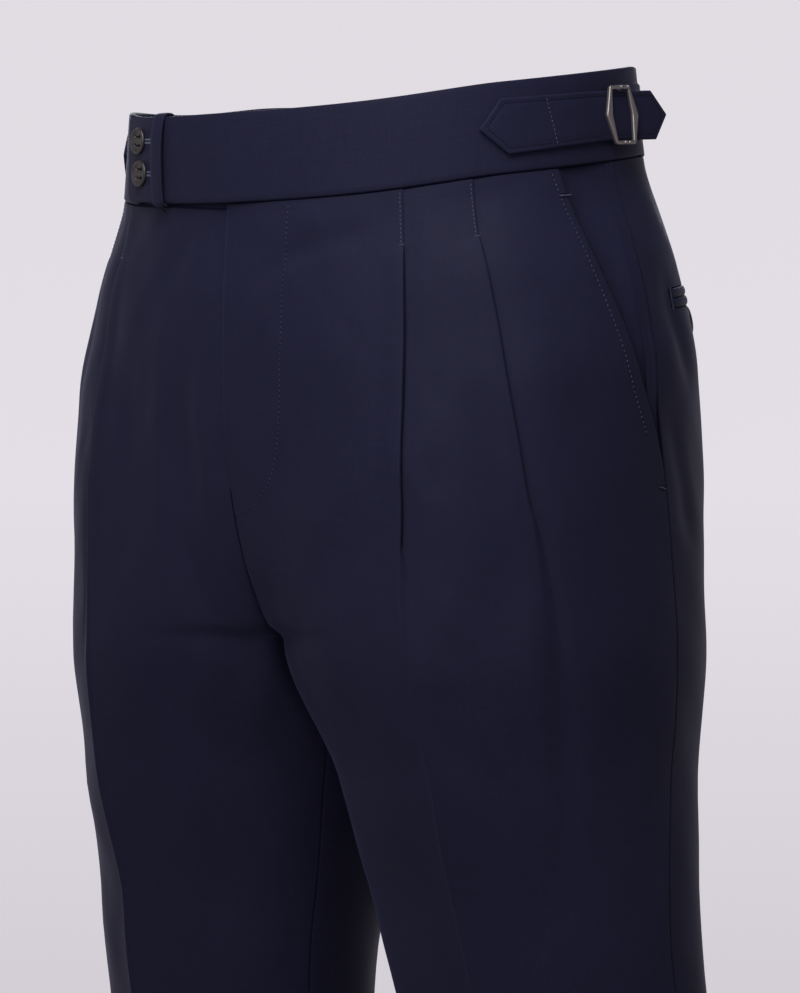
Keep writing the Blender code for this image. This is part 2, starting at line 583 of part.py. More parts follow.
def add_buckle(name, mirror):
    """Six-sided frame over the strap, with a bar behind the strap on two lugs."""
    origin, along, up, normal = strap_frame(BUCKLE["along"])
    thick = BUCKLE["thick"]
    rest = STRAP["cloth"] / 2 + BUCKLE["gap"]

    def at(a, u, n):
        return origin + along * a + up * u + normal * n

    corners = [(1, 0), (1, 1), (-1, 1), (-1, 0), (-1, -1), (1, -1)]
    section = [(0, 0), (0, 0.7), (0.15, 1), (0.85, 1), (1, 0.7), (1, 0)]
    rings = []
    for a, u in corners:
        outer = np.array([a * BUCKLE["half_end" if u else "half_middle"], u * BUCKLE["half_height"]])
        inner = np.array([a * BUCKLE["opening_end" if u else "opening_middle"], u * BUCKLE["opening_height"]])
        rings.append([at(*(outer + (inner - outer) * r), rest + thick * n) for r, n in section])
    count = len(section)
    verts = np.array(rings).reshape(-1, 3)
    faces = []
    for r in range(len(corners)):
        q = (r + 1) % len(corners)
        for c in range(count):
            n = (c + 1) % count
            faces.append((r * count + c, r * count + n, q * count + n, q * count + c))
    buckle = add_object(name, verts, faces, GUNMETAL, mirror)

    bar = BUCKLE["bar_radius"]
    depth = -rest - bar
    lug_half = BUCKLE["lug_half"]
    turns = np.linspace(0, 2 * math.pi, 8, endpoint=False)
    bar_rings = [np.array([at(bar * math.cos(t), u, depth + bar * math.sin(t)) for t in turns])
                 for u in (-BUCKLE["bar_half"], BUCKLE["bar_half"])]
    tools = [tube(bar_rings)]
    for sign in (-1, 1):
        low, high = sorted((sign * BUCKLE["lug_in"], sign * BUCKLE["lug_out"]))
        low_n = depth - bar - 0.15
        tools.append(tube([np.array([at(-lug_half, u, low_n), at(lug_half, u, low_n),
                                     at(lug_half, u, rest + 0.6 * thick), at(-lug_half, u, rest + 0.6 * thick)])
                           for u in (low, high)]))
    for i, (tool_verts, tool_faces) in enumerate(tools):
        tool = add_object(f"{name}_tool_{i}", tool_verts, tool_faces, GUNMETAL, mirror)
        tool.hide_render = True
        tool.display_type = "WIRE"
        union = buckle.modifiers.new(f"join_{i}", "BOOLEAN")
        union.operation = "UNION"
        union.object = tool
    return buckle


def add_loop(name, mirror):
    """Flat strip under the strap that holds the buckle's bar to the band."""
    half = LOOP["width"] / 2
    outer = BAND_PROUD + SEAM_GAP + LOOP["cloth"]
    s = np.linspace(LOOP["first"], LOOP["last"], 7)
    heights = [STRAP["height"] + half, STRAP["height"], STRAP["height"] - half]
    verts, faces = wall(np.array([on_form(s, h, outer) for h in heights]),
                        np.array([on_form(s, h, outer - LOOP["cloth"]) for h in heights]))
    return add_object(name, verts, faces, WOOL, mirror)


def main():
    for obj in list(bpy.data.objects):
        bpy.data.objects.remove(obj, do_unlink=True)
    button_lift = BAND_PROUD + TAB_LIFT + SEAM_GAP
    opening = 0.5 * (BACK_POCKET["top"] + BACK_POCKET["bottom"])
    for side, mirror in (("left", False), ("right", True)):
        add_front(f"front_{side}", mirror)
        add_back(f"back_{side}", mirror)
        add_facing(f"pocket_facing_{side}", mirror)
        add_jet(f"jet_upper_{side}", BACK_POCKET["top"] - SEAM_GAP, opening + SEAM_GAP / 2, mirror)
        add_jet(f"jet_lower_{side}", opening - SEAM_GAP / 2, BACK_POCKET["bottom"] + SEAM_GAP, mirror)
        add_button(f"back_button_{side}", BACK_BUTTON["place"], BACK_POCKET["bottom"] - BACK_BUTTON["below"],
                   SEAM_GAP, BACK_BUTTON["diameter"], mirror)
        add_strap(f"strap_{side}", mirror)
        add_loop(f"buckle_loop_{side}", mirror)
        add_buckle(f"buckle_{side}", mirror)
    add_waistband_left("waistband_left")
    add_waistband_right("waistband_right")
    add_keeper("keeper")
    for button in TAB_BUTTONS:
        add_button(f"tab_button_{button['name']}", button["place"], button["height"], button_lift, 15.0)


main()
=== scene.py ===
"""Looks of a pair of pleated dress trousers: fine wool cloth, sewing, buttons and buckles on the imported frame.

Lengths are in millimetres and angles in degrees; MM turns millimetres into Blender's metres. The origin is
the middle of the waist seam, +Z is up, the front faces -Y and the wearer's left is +X.

A place on the cloth is (s, h): h is the height above the waist seam and s runs round one half of the
trousers: 0 at the middle front (the inseam below the crotch), 0.5 at the front crease, 1 at the side seam,
1.5 at the back crease and 2 at the middle back. The right half is the left one mirrored.
"""
import math

import bpy
import numpy as np
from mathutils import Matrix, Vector


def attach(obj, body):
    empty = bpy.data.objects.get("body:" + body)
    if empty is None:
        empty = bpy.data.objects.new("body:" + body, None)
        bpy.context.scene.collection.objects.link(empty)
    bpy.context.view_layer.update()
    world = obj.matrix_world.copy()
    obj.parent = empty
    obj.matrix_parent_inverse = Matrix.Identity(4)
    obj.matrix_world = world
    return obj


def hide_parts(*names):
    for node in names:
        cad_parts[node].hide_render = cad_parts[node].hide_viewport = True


bl_info = {
    "name": "Pleated dress trousers",
    "version": (1, 0, 0),
    "blender": (4, 5, 0),
    "location": "3D View > Sidebar > Trousers",
    "description": "Builds the cloth, sewing and fastenings of pleated dress trousers on their frame",
    "category": "Object",
}

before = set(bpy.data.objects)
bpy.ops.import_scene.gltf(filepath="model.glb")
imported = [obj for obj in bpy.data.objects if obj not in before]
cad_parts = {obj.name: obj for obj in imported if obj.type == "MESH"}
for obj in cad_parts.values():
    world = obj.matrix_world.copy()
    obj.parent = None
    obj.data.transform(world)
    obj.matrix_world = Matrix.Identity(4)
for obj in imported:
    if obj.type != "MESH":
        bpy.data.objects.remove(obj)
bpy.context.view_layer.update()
MM = 0.001
SIDES = ("left", "right")

# ---- Sizes of the cut ---------------------------------------------------------------------------------
BAND_HEIGHT = 50.0
BAND_PROUD = 0.8            # how far the waistband stands out from the panels below it
BAND_THICKNESS = 2.4
CROTCH = -260.0
HEM = -1030.0
HEM_TURN_UP = 42.0
LEG_CLEARANCE = 3.0         # how near a leg comes to the middle plane
LEG_ROUNDING = 4.0          # how softly it is kept off that plane
EDGE = 1e-6                 # slack in s for what lies past a joined edge
SEAM_GAP = 0.3
FOLD_STEP = 0.55            # from the middle of a cloth layer to the middle of the one folded under it

FLY_LAP = 10.0              # how far the right front runs on under the left one
FLY_DROP = 1.35             # how deep it lies there
FLY_LAP_END = -160.0        # the height at which the lap starts to turn into a seam
FLY_DROP_END = -172.0       # the height at which it has become one
FLY_EDGE = dict(rise=0.95, width=2.6, start=-178.0, full=-166.0)     # the left front's edge along the fly
CREASE = dict(rise=0.55, width=1.3)
DART = dict(place=1.3, lean=0.0001, depth=0.45, width=0.7)

POCKET_UNDERLAP = 10.0      # how far the facing runs on under the front's edge
POCKET_DROP = 2.2           # how deep it lies there
POCKET_SAG = 0.7            # how far the facing hangs in between the pocket's edge and the side seam
POCKET_END = -176.0

BACK_POCKET = dict(front=1.1, back=1.5, top=-72.4, bottom=-83.2, depth=1.2, beyond=0.012, slope=0.01,
                   above=0.4, fall=0.8)
BACK_BUTTON = dict(place=1.3, below=9.5, diameter=16.0)

WAIST_DIPS = [dict(y=-55.0, full=-121.0, drop=4.0), dict(y=45.0, full=120.0, drop=7.8)]
RIGHT_DROP = dict(drop=8.0, first_y=-90.0, full_y=25.0, full_x=-80.0)
FADE_START, FADE_END = 0.0, -70.0
FLY_DROOP = dict(drop=2.8, reach=-60.0, full_z=-22.0, end_z=-52.0)   # the right side hangs lower under the tab
FLY_SHIFT = dict(by=-2.7, width=18.0, full_z=-20.0, end_z=-105.0)    # the fly's edge, off the middle plane

TAB_END = -0.465
TAB_LIFT = 2.8              # how far the tab lies over the right band
TAB_RISE = 2.0              # how far the tab's lower edge has risen above the waist seam at its end
TAB_RAMP = (40.0, -2.0)     # distances from the middle front between which the left band rises to that
TAB_GAP = 3.0               # how far the right band's lower edge is drawn up under the tab
TAB_CORNER = 2.2            # radius of the tab's corners
TAB_CURL = 1.5              # how far the tab's upper corner curls up
TAB_CURL_OUT = 0.7          # how far it curls out
TAB_CURL_REACH = 8.0

KEEPER = dict(place=-0.279, width=11.0, cloth=1.5)
TAB_BUTTONS = [dict(name="upper", place=-0.391, height=36.3), dict(name="lower", place=-0.381, height=18.0)]
TAB_BUTTON_DIAMETER = 15.0
TAB_BUTTON_TURN = 8.0       # how far a tab button has swung round towards the middle front

STRAP = dict(tip=0.664, lift=2.7, leaves=0.942, height=25.0, splay=5.0, pitch=4.5, cloth=2.0)
BUCKLE = dict(along=16.5, half_height=16.4, half_middle=12.0, half_end=7.3, thick=2.2,
              opening_height=14.2, opening_middle=7.5, opening_end=6.1, bar_radius=0.9, bar_half=15.1,
              lug_in=14.0, lug_out=15.8, lug_half=1.8, gap=0.3)
LOOP = dict(first=1.02, last=1.2, width=32.0, cloth=1.2)


# ---- The form that every cloth piece lies on ------------------------------------------------------------
def smoothstep(t):
    t = np.clip(t, 0, 1)
    return t * t * (3 - 2 * t)


def ramp(value, start, end):
    """0 before start, 1 past end and a smooth rise between them; end may lie below start."""
    return smoothstep((value - start) / (end - start))


def unit(vectors):
    return vectors / np.linalg.norm(vectors, axis=-1, keepdims=True)


def paired(u, v):
    """Places (u, v) from two arrays whose shapes fit."""
    return np.stack(np.broadcast_arrays(u, v), -1)


def reach_along(points):
    """Distance of each point of a polyline from its first one."""
    return np.concatenate([[0], np.cumsum(np.linalg.norm(np.diff(points, axis=0), axis=1))])


def smooth_slopes(x, y):
    """Slopes of a curve through (x, y) that never overshoots its points."""
    step = np.diff(x)
    rise = np.diff(y) / step
    slopes = np.zeros(len(x))
    for i in range(1, len(x) - 1):
        if rise[i - 1] * rise[i] > 0:
            before, after = 2 * step[i] + step[i - 1], step[i] + 2 * step[i - 1]
            slopes[i] = (before + after) / (before / rise[i - 1] + after / rise[i])
    slopes[0], slopes[-1] = rise[0], rise[-1]
    return slopes


class Table:
    """Rows of named sizes over height, joined by smooth curves."""

    def __init__(self, columns, rows):
        data = np.array(sorted(rows), float)
        self.height = data[:, 0]
        self.values = dict(zip(columns.split()[1:], data[:, 1:].T))
        self.slopes = {name: smooth_slopes(self.height, y) for name, y in self.values.items()}

    def __call__(self, name, h):
        x, y, m = self.height, self.values[name], self.slopes[name]
        h = np.clip(h, x[0], x[-1])
        i = np.clip(np.searchsorted(x, h, side="right") - 1, 0, len(x) - 2)
        step = x[i + 1] - x[i]
        t = (h - x[i]) / step
        return ((2 * t ** 3 - 3 * t ** 2 + 1) * y[i] + (t ** 3 - 2 * t ** 2 + t) * step * m[i]
                + (3 * t ** 2 - 2 * t ** 3) * y[i + 1] + (t ** 3 - t ** 2) * step * m[i + 1])


# Section of the body part: an oval, with the angles of the creases and the side seam round it, and tilt, the
# rise of the section from front to back.
BODY = Table("height half_width front_depth back_depth crease side back_crease tilt", [
    (60.0, 155.5, 122.0, 119.0, 48.0, 96.0, 140.0, 0.14),
    (50.0, 157.0, 122.2, 119.3, 48.0, 96.0, 140.0, 0.14),
    (0.0, 163.5, 121.5, 121.5, 48.0, 95.0, 140.0, 0.14),
    (-6.0, 164.8, 121.7, 122.0, 48.0, 94.8, 140.0, 0.14),
    (-60.0, 186.5, 126.5, 131.0, 48.0, 92.5, 141.0, 0.115),
    (-120.0, 198.5, 129.0, 141.5, 48.0, 92.5, 142.0, 0.08),
    (-180.0, 198.5, 131.5, 153.0, 48.0, 94.5, 143.0, 0.04),
    (-260.0, 197.0, 128.0, 151.0, 43.5, 96.0, 144.0, 0.0),
    (-340.0, 192.0, 125.0, 140.0, 38.0, 95.0, 146.0, 0.0)])
OVAL_POWER = 2.1

# Section of one leg: an ellipse turned outwards by toe_out, with a pressed crease in front and behind.
LEG = Table("height centre_x centre_y half_width front_depth back_depth crease_rise toe_out", [
    (-100.0, 101.0, -1.5, 98.5, 120.0, 124.0, 6.0, 10.0),
    (-260.0, 87.5, -1.5, 119.0, 113.0, 119.0, 6.0, 18.5),
    (-340.0, 100.5, 5.0, 100.0, 102.0, 106.0, 6.0, 16.0),
    (-420.0, 116.0, 4.0, 93.0, 76.5, 80.5, 6.0, 10.5),
    (-520.0, 127.5, 16.0, 88.0, 66.5, 69.5, 6.5, 10.5),
    (-780.0, 146.0, 30.0, 74.0, 65.0, 68.0, 8.0, 9.5),
    (-1030.0, 160.0, 40.0, 62.0, 64.0, 66.0, 9.0, 9.0)])
INSEAM_ANGLE, SIDE_ANGLE = 8.0, 172.0
CREASE_SPREAD = 14.0

# How far the section has turned from body into leg, at the front edge, at the back edge and midway.
TURN = Table("height front back middle", [
    (50.0, 0, 0, 0), (-80.0, 0, 0, 0), (-120.0, 0.02, 0.04, 0.13), (-170.0, 0.11, 0.20, 0.41),
    (-215.0, 0.26, 0.42, 0.59), (-242.0, 0.47, 0.62, 0.77), (-256.0, 0.70, 0.82, 0.88),
    (-260.0, 1, 1, 0.90), (-285.0, 1, 1, 1), (-310.0, 1, 1, 1)])

# A pleat: its distance behind the crease, the cloth folded under (below zero the fold has opened into a
# groove that wide), the step from one layer to the next and how far its edge stands proud.
PLEATS = [
    Table("height place under step proud", [
        (0.0, 0, 15, 0.5, 0.3), (-32.0, 0, 15, 0.5, 0.3), (-38.0, 0, 14.5, 1.1, 1.0),
        (-70.0, 0, 12.5, 1.55, 1.8), (-112.0, 0, 9.5, 1.7, 2.0), (-158.0, 0, 6.5, 1.65, 1.8),
        (-203.0, 0, 3.5, 1.5, 1.3), (-215.0, 0, -3.0, 1.3, 1.1), (-245.0, 0, -6.0, 0.7, 0.6),
        (-292.0, 0, -8.0, 0, 0), (-345.0, 0, -8.0, 0, 0)]),
    Table("height place under step proud", [
        (0.0, 38.6, 15, 0.5, 0.3), (-32.0, 41.5, 15, 0.5, 0.3), (-38.0, 43.0, 14, 0.9, 0.9),
        (-70.0, 49.0, 11, 1.2, 1.3), (-112.0, 56.5, 8, 1.3, 1.4), (-158.0, 65.0, 5, 1.35, 1.3),
        (-178.0, 68.0, 3.0, 1.3, 1.2), (-190.0, 70.5, -0.8, 1.3, 1.1), (-203.0, 73.0, -3, 1.2, 1.0),
        (-245.0, 78.0, -6, 0.95, 1.0), (-290.0, 77.0, -8, 0.5, 0.6),
        (-335.0, 75.0, -8, 0, 0), (-450.0, 62.0, -8, 0, 0), (HEM, 48.0, -8, 0, 0)])]
PLEAT_RUN_IN, PLEAT_RUN_OUT = 13.0, 15.0
PLEAT_SEWN_TO = -32.0

# The slanted side pocket: distance of the front's edge, and of its stitching, from the side seam.
SIDE_POCKET = Table("height inset stitching", [
    (0.0, 43.5, 48.9), (-16.0, 39.8, 45.0), (-41.0, 33.6, 38.6), (-91.0, 20.5, 27.6), (-120.0, 12.4, 20.6),
    (-140.0, 5.5, 15.0), (-158.0, 2.0, 9.6), (-171.0, 0, 6.0), (HEM, 0, 6.0)])


def waist_dip(y, h):
    """How far the form lies below its level section at the distance y behind the middle."""
    fade = ramp(h, FADE_END, FADE_START)
    return fade * sum(dip["drop"] * ramp(y, dip["y"], dip["full"]) for dip in WAIST_DIPS)


def body_section(s, h):
    crease, side, back_crease = (BODY(name, h) for name in ("crease", "side", "back_crease"))
    angle = np.radians(np.select(
        [s < 0.5, s < 1.0, s < 1.5],
        [2 * s * crease, crease + (2 * s - 1) * (side - crease), side + (2 * s - 2) * (back_crease - side)],
        back_crease + (2 * s - 3) * (180 - back_crease)))
    across, forward = np.sin(angle), np.cos(angle)
    depth = np.where(forward > 0, BODY("front_depth", h), BODY("back_depth", h))
    radius = (np.abs(across / BODY("half_width", h)) ** OVAL_POWER
              + np.abs(forward / depth) ** OVAL_POWER) ** (-1 / OVAL_POWER)
    return radius * across, -radius * forward


def leg_section(s, h):
    degrees = np.where(s < 1, INSEAM_ANGLE + (SIDE_ANGLE - INSEAM_ANGLE) * s,
                       SIDE_ANGLE + (360 + INSEAM_ANGLE - SIDE_ANGLE) * (s - 1))
    angle, turn = np.radians(degrees), np.radians(LEG("toe_out", h))
    inward, forward = np.cos(angle), np.sin(angle)
    depth = np.where(forward > 0, LEG("front_depth", h), LEG("back_depth", h))
    radius = ((inward / LEG("half_width", h)) ** 2 + (forward / depth) ** 2) ** -0.5
    radius = radius + LEG("crease_rise", h) * (np.exp(-np.abs(degrees - 90) / CREASE_SPREAD)
                                               + np.exp(-np.abs(degrees - 270) / CREASE_SPREAD))
    x = -inward * np.cos(turn) + forward * np.sin(turn)
    y = -inward * np.sin(turn) - forward * np.cos(turn)
    return LEG("centre_x", h) + radius * x, LEG("centre_y", h) + radius * y


def clear_of_middle(x):
    past = x - LEG_CLEARANCE
    return LEG_CLEARANCE + 0.5 * (past + np.sqrt(past ** 2 + LEG_ROUNDING ** 2))


def form(s, h, joined):
    """Points of the form's left half. Where joined, its two edges lie on the middle plane."""
    mirrored = ((s < -EDGE) | (s > 2 + EDGE)) & joined
    s = np.where(joined, np.where(s < 0, -s, np.where(s > 2, 4 - s, s)), s % 2.0 + 2.0 * (s == 2))
    edge_turn = np.where(s < 1, TURN("front", h), TURN("back", h))
    from_edge = np.clip(np.minimum(s, 2 - s) / 0.5, 0, 1)
    turn = edge_turn + (TURN("middle", h) - edge_turn) * smoothstep(from_edge)
    body_x, body_y = body_section(s, h)
    leg_x, leg_y = leg_section(s, h)
    x = clear_of_middle((1 - turn) * body_x + turn * leg_x)
    y = (1 - turn) * body_y + turn * leg_y
    edge_x = clear_of_middle(edge_turn * leg_section(np.where(s < 1, 0.0, 2.0), h)[0])
    x = np.where(joined, x - (edge_x - SEAM_GAP / 2) * (1 - from_edge) ** 2, x)
    return np.stack([np.where(mirrored, -x, x), y, h + BODY("tilt", h) * y - waist_dip(y, h)], -1)


def outward(s, h, joined):
    """Unit normals of the form, level with the middle plane along its joined edges."""
    ds, dh = 0.002, 1.0
    along = form(s + ds, h, joined) - form(s - ds, h, joined)
    up = form(s, h + dh, joined) - form(s, h - dh, joined)
    normal = np.cross(along, up)
    at_crotch = joined & (h < CROTCH + dh) & (np.minimum(s, 2 - s) < 0.01)
    normal[at_crotch] = (0, 0, -1)
    return unit(normal)


class Rows:
    """Level rows of the form at several heights, with distances measured along each."""
    SAMPLES = np.linspace(-0.6, 2.0, 521)

    def __init__(self, heights):
        self.h = np.asarray(heights, float).reshape(-1)
        s, h = np.meshgrid(self.SAMPLES, self.h)
        points = form(s, h, h >= CROTCH)
        steps = np.linalg.norm(np.diff(points, axis=1), axis=2)
        self.reach = np.concatenate([np.zeros((len(self.h), 1)), np.cumsum(steps, axis=1)], axis=1)

    def _at(self, s):
        return np.array([np.interp(s, self.SAMPLES, reach) for reach in self.reach])

    def distance(self, s_from, s_to):
        """Distance along each row from one s to another."""
        return self._at(s_to) - self._at(s_from)

    def place(self, s_from, distances):
        """The s of places at distances from s_from; distances has one line for each row."""
        start = self._at(s_from)
        return np.array([np.interp(start[i] + distances[i], self.reach[i], self.SAMPLES)
                         for i in range(len(self.h))])


BAND_ROW = Rows([BAND_HEIGHT / 2])


def along_band(start, distances):
    """The s of places at distances from start along the waistband's middle line."""
    return BAND_ROW.place(start, np.atleast_2d(distances))[0]


# ---- Soft folds -----------------------------------------------------------------------------------------
# Each row names a fold and gives its width (how far its flanks reach), its rise (how far its middle stands
# out, a trough below zero) and the places (s, h) that it runs through. Both sides have those under "both".
FOLDS = {
    "left": [
        ("drag from the fly", 8, -1.7, [(0.075, -64), (0.12, -50), (0.20, -36), (0.33, -26), (0.47, -18)]),
        ("ridge over the drag", 9, 1.0, [(0.06, -16), (0.18, -14), (0.36, -8)]),
        ("fullness beside the fly", 24, 1.7, [(0.30, -50), (0.34, -110), (0.35, -170), (0.33, -215)]),
        ("hollow at the stitching", 9, -0.8, [(0.17, -95), (0.19, -140), (0.21, -185)]),
        ("fullness in the first pleat", 13, 1.2, [(0.59, -50), (0.60, -110), (0.61, -190), (0.62, -250)]),
        ("upper dimple", 6, -0.9, [(0.545, -106), (0.56, -120), (0.57, -132)]),
        ("lower dimple", 7, -0.9, [(0.54, -152), (0.555, -168), (0.56, -182)]),
        ("end of the first pleat", 11, 1.7, [(0.575, -225), (0.562, -262), (0.556, -296)]),
        ("hollow past the first pleat", 10, -1.0, [(0.545, -300), (0.57, -330), (0.62, -352), (0.70, -360)]),
        ("second pleat's cloth", 11, 1.0, [(0.73, -40), (0.76, -100), (0.79, -170)]),
        ("second pleat's end", 7, 1.4, [(0.705, -215), (0.705, -280), (0.70, -350)]),
        ("hollow behind that end", 7, -1.3, [(0.755, -225), (0.75, -290), (0.745, -350), (0.74, -400)]),
        ("hollow at the pocket mouth", 8, -1.5, [(0.865, -10), (0.91, -38), (0.945, -70)]),
        ("ridge at the side seam", 8, 1.0, [(0.975, -14), (0.985, -48), (0.99, -90)]),
        ("hollow before the back pocket", 7, -1.7, [(1.075, -58), (1.08, -84), (1.10, -108), (1.13, -130)]),
        ("fullness over the hip", 12, 1.5, [(1.03, -92), (1.04, -116), (1.05, -134)]),
        ("hollow at the pocket's foot", 7, -1.8, [(1.022, -134), (1.04, -152), (1.06, -182), (1.07, -215)]),
        ("thigh hollow", 11, -1.1, [(0.38, -190), (0.39, -240), (0.42, -290)]),
        ("thigh ridge", 10, 1.1, [(0.24, -200), (0.29, -250), (0.35, -320)]),
        ("inner hollow", 9, -1.0, [(0.12, -212), (0.19, -262), (0.25, -330)]),
        ("outer thigh hollow", 15, -1.1, [(0.88, -215), (0.89, -290), (0.87, -370)]),
        ("drag towards the knee", 15, -1.1, [(0.30, -352), (0.40, -338), (0.47, -318)]),
    ],
    "right": [
        ("hollow beside the fly", 6, -0.8, [(0.035, -60), (0.04, -110), (0.045, -150)]),
        ("fullness beside the fly", 8, 1.2, [(0.085, -80), (0.10, -140), (0.115, -205)]),
        ("long hollow", 9, -1.7, [(0.155, -80), (0.17, -140), (0.195, -205), (0.19, -265)]),
        ("long ridge", 10, 1.4, [(0.24, -50), (0.26, -130), (0.27, -210), (0.29, -290)]),
        ("hollow at the crease", 10, -1.0, [(0.36, -80), (0.38, -160), (0.40, -250)]),
        ("inner ridge", 8, 1.1, [(0.12, -225), (0.125, -270), (0.13, -330)]),
        ("inner hollow", 9, -1.2, [(0.16, -262), (0.19, -300), (0.21, -345)]),
        ("thigh ridge", 14, 1.2, [(0.27, -300), (0.27, -370), (0.26, -430)]),
        ("drag under the tab", 10, -1.0, [(0.12, -12), (0.20, -30), (0.25, -58)]),
        ("hollow at the pocket mouth", 8, -1.4, [(0.87, -12), (0.91, -36), (0.94, -62)]),
        ("fullness in the first pleat", 13, 1.2, [(0.59, -52), (0.60, -120), (0.61, -200)]),
        ("dimple", 7, -0.9, [(0.545, -128), (0.56, -146), (0.57, -160)]),
        ("second pleat's cloth", 11, 1.0, [(0.73, -44), (0.76, -110), (0.78, -176)]),
        ("fullness over the hip", 12, 1.4, [(1.03, -96), (1.04, -120), (1.05, -142)]),
        ("hollow at the pocket's foot", 7, -1.6, [(1.025, -140), (1.04, -158), (1.06, -190)]),
        ("hollow before the back pocket", 7, -1.4, [(1.07, -54), (1.08, -80), (1.10, -106)]),
        ("outer thigh hollow", 15, -1.0, [(0.86, -225), (0.87, -300), (0.86, -360)]),
    ],
    "both": [
        ("seat drag, first", 12, -2.0, [(1.88, -205), (1.76, -228), (1.60, -240), (1.40, -236), (1.22, -222)]),
        ("seat ridge", 10, 1.3, [(1.82, -232), (1.68, -252), (1.50, -260), (1.34, -256)]),
        ("seat drag, second", 11, -1.7, [(1.84, -262), (1.70, -280), (1.54, -288), (1.38, -282)]),
        ("seat drag, third", 10, -1.1, [(1.72, -306), (1.60, -318), (1.46, -320)]),
        ("hollow of the seat seam", 10, -1.2, [(1.93, -120), (1.92, -160), (1.90, -200)]),
        ("fall behind the thigh", 15, 1.3, [(1.34, -290), (1.36, -380), (1.40, -470)]),
        ("hollow behind the thigh", 15, -1.3, [(1.22, -260), (1.21, -360), (1.24, -450)]),
        ("small of the back", 9, -0.9, [(1.88, -14), (1.76, -26), (1.62, -30)]),
        ("back of the knee, upper", 12, -1.7, [(1.18, -566), (1.36, -580), (1.56, -582), (1.76, -570)]),
        ("back of the knee, ridge", 10, 1.2, [(1.24, -596), (1.44, -606), (1.66, -602)]),
        ("back of the knee, lower", 11, -1.3, [(1.28, -622), (1.48, -634), (1.70, -628)]),
        ("front of the knee", 13, -1.1, [(0.14, -560), (0.27, -584), (0.40, -596)]),
        ("outer knee", 12, -1.1, [(0.62, -600), (0.76, -588), (0.92, -566)]),
        ("shin, inner", 15, -1.3, [(0.12, -800), (0.25, -850), (0.36, -930)]),
        ("shin, outer", 16, 1.2, [(0.70, -720), (0.72, -820), (0.70, -940)]),
        ("break in front", 13, -1.5, [(0.16, -958), (0.34, -946), (0.47, -932)]),
        ("break outside", 13, -1.4, [(0.56, -930), (0.72, -944), (0.90, -962)]),
        ("calf", 17, -1.3, [(1.66, -700), (1.70, -800), (1.66, -900)]),
        ("calf, outer", 15, 1.1, [(1.26, -700), (1.24, -800), (1.28, -910)]),
    ],
}
ROUND_SCALE = 260.0         # millimetres to one unit of s, for measuring across a fold
FOLD_TAPER = 0.34           # share of a fold's length over which each end dies away
RIPPLES = [(0.031, 0.011, 0.3, 0.28), (0.017, -0.024, 1.9, 0.25), (-0.043, 0.019, 4.1, 0.18),
           (0.058, 0.037, 2.6, 0.12)]    # half-turns per millimetre round and down, phase, height
WAIST_HOLD = 12.0           # the cloth below the waist seam over which folds grow from nothing
# Distances in s from a joined edge and from an inseam between which they do so.
BODY_HOLD, LEG_HOLD = (0.045, 0.105), (0.0, 0.05)


def fold_height(width, rise, path, s, h):
    """How far one fold moves the cloth out at places (s, h)."""
    path = np.array(path, float) * (ROUND_SCALE, 1)
    points = np.stack([s * ROUND_SCALE, h], -1)
    lengths = np.linalg.norm(np.diff(path, axis=0), axis=1)
    nearest = np.full(s.shape, np.inf)
    run = np.zeros(s.shape)
    for i, length in enumerate(lengths):
        ahead = (path[i + 1] - path[i]) / length
        along = np.clip((points - path[i]) @ ahead, 0, length)
        distance = np.linalg.norm(points - path[i] - along[..., None] * ahead, axis=-1)
        closer = distance < nearest
        run = np.where(closer, lengths[:i].sum() + along, run)
        nearest = np.where(closer, distance, nearest)
    run /= lengths.sum()
    ends = smoothstep(run / FOLD_TAPER + 0.1) * smoothstep((1 - run) / FOLD_TAPER + 0.1)
    return rise * ends * np.exp(-(nearest / width) ** 2)


def relief(s, h, side):
    """Soft folds and slow ripples of the cloth, nothing at the waist seam and at the joined edges."""
    height = np.zeros(s.shape)
    for _, width, rise, path in FOLDS[side] + FOLDS["both"]:
        height += fold_height(width, rise, path, s, h)
    lean = 1.0 if side == "left" else 1.7
    for round_, down, phase, amount in RIPPLES:
        height += amount * np.sin(math.pi * (round_ * s * ROUND_SCALE + down * h) + phase * lean)
    from_edge = np.minimum(s, 2 - s)
    hold = np.where(h >= CROTCH, ramp(from_edge, *BODY_HOLD), ramp(from_edge, *LEG_HOLD))
    return height * hold * smoothstep(-h / WAIST_HOLD)


def on_form(s, h, lift, side=None):
    """Points that stand lift millimetres out from the folded cloth of one side, or with no side from the smooth
    form, for what stands on the stiff waistband."""
    s, h, lift = np.broadcast_arrays(*(np.asarray(part, float) for part in (s, h, lift)))
    joined = h >= CROTCH
    if side:
        lift = lift + relief(s, h, side)
    return form(s, h, joined) + outward(s, h, joined) * lift[..., None]


def frame_at(s, h, lift, side=None, step=0.001):
    """Origin and axes (along the row, up, outward) of a place on the form or on one side's cloth."""
    origin = on_form(s, h, lift, side)
    normal = on_form(s, h, lift + 1, side) - origin
    along = on_form(s + step, h, lift, side) - origin
    along = unit(along - normal * np.dot(along, normal))
    return origin, along, np.cross(normal, along), normal


def right_drop(verts):
    """How far points of the waist's right side lie below their twins on the left."""
    x, y, z = verts.T
    behind = ramp(y, RIGHT_DROP["first_y"], RIGHT_DROP["full_y"])
    return RIGHT_DROP["drop"] * ramp(z, FADE_END, FADE_START) * behind * smoothstep(x / RIGHT_DROP["full_x"])


def near_fly(verts, size):
    """1 at the waist's front, 0 from the height end_z down and behind."""
    return ramp(verts[:, 2], size["end_z"], size["full_z"]) * (verts[:, 1] < 0)


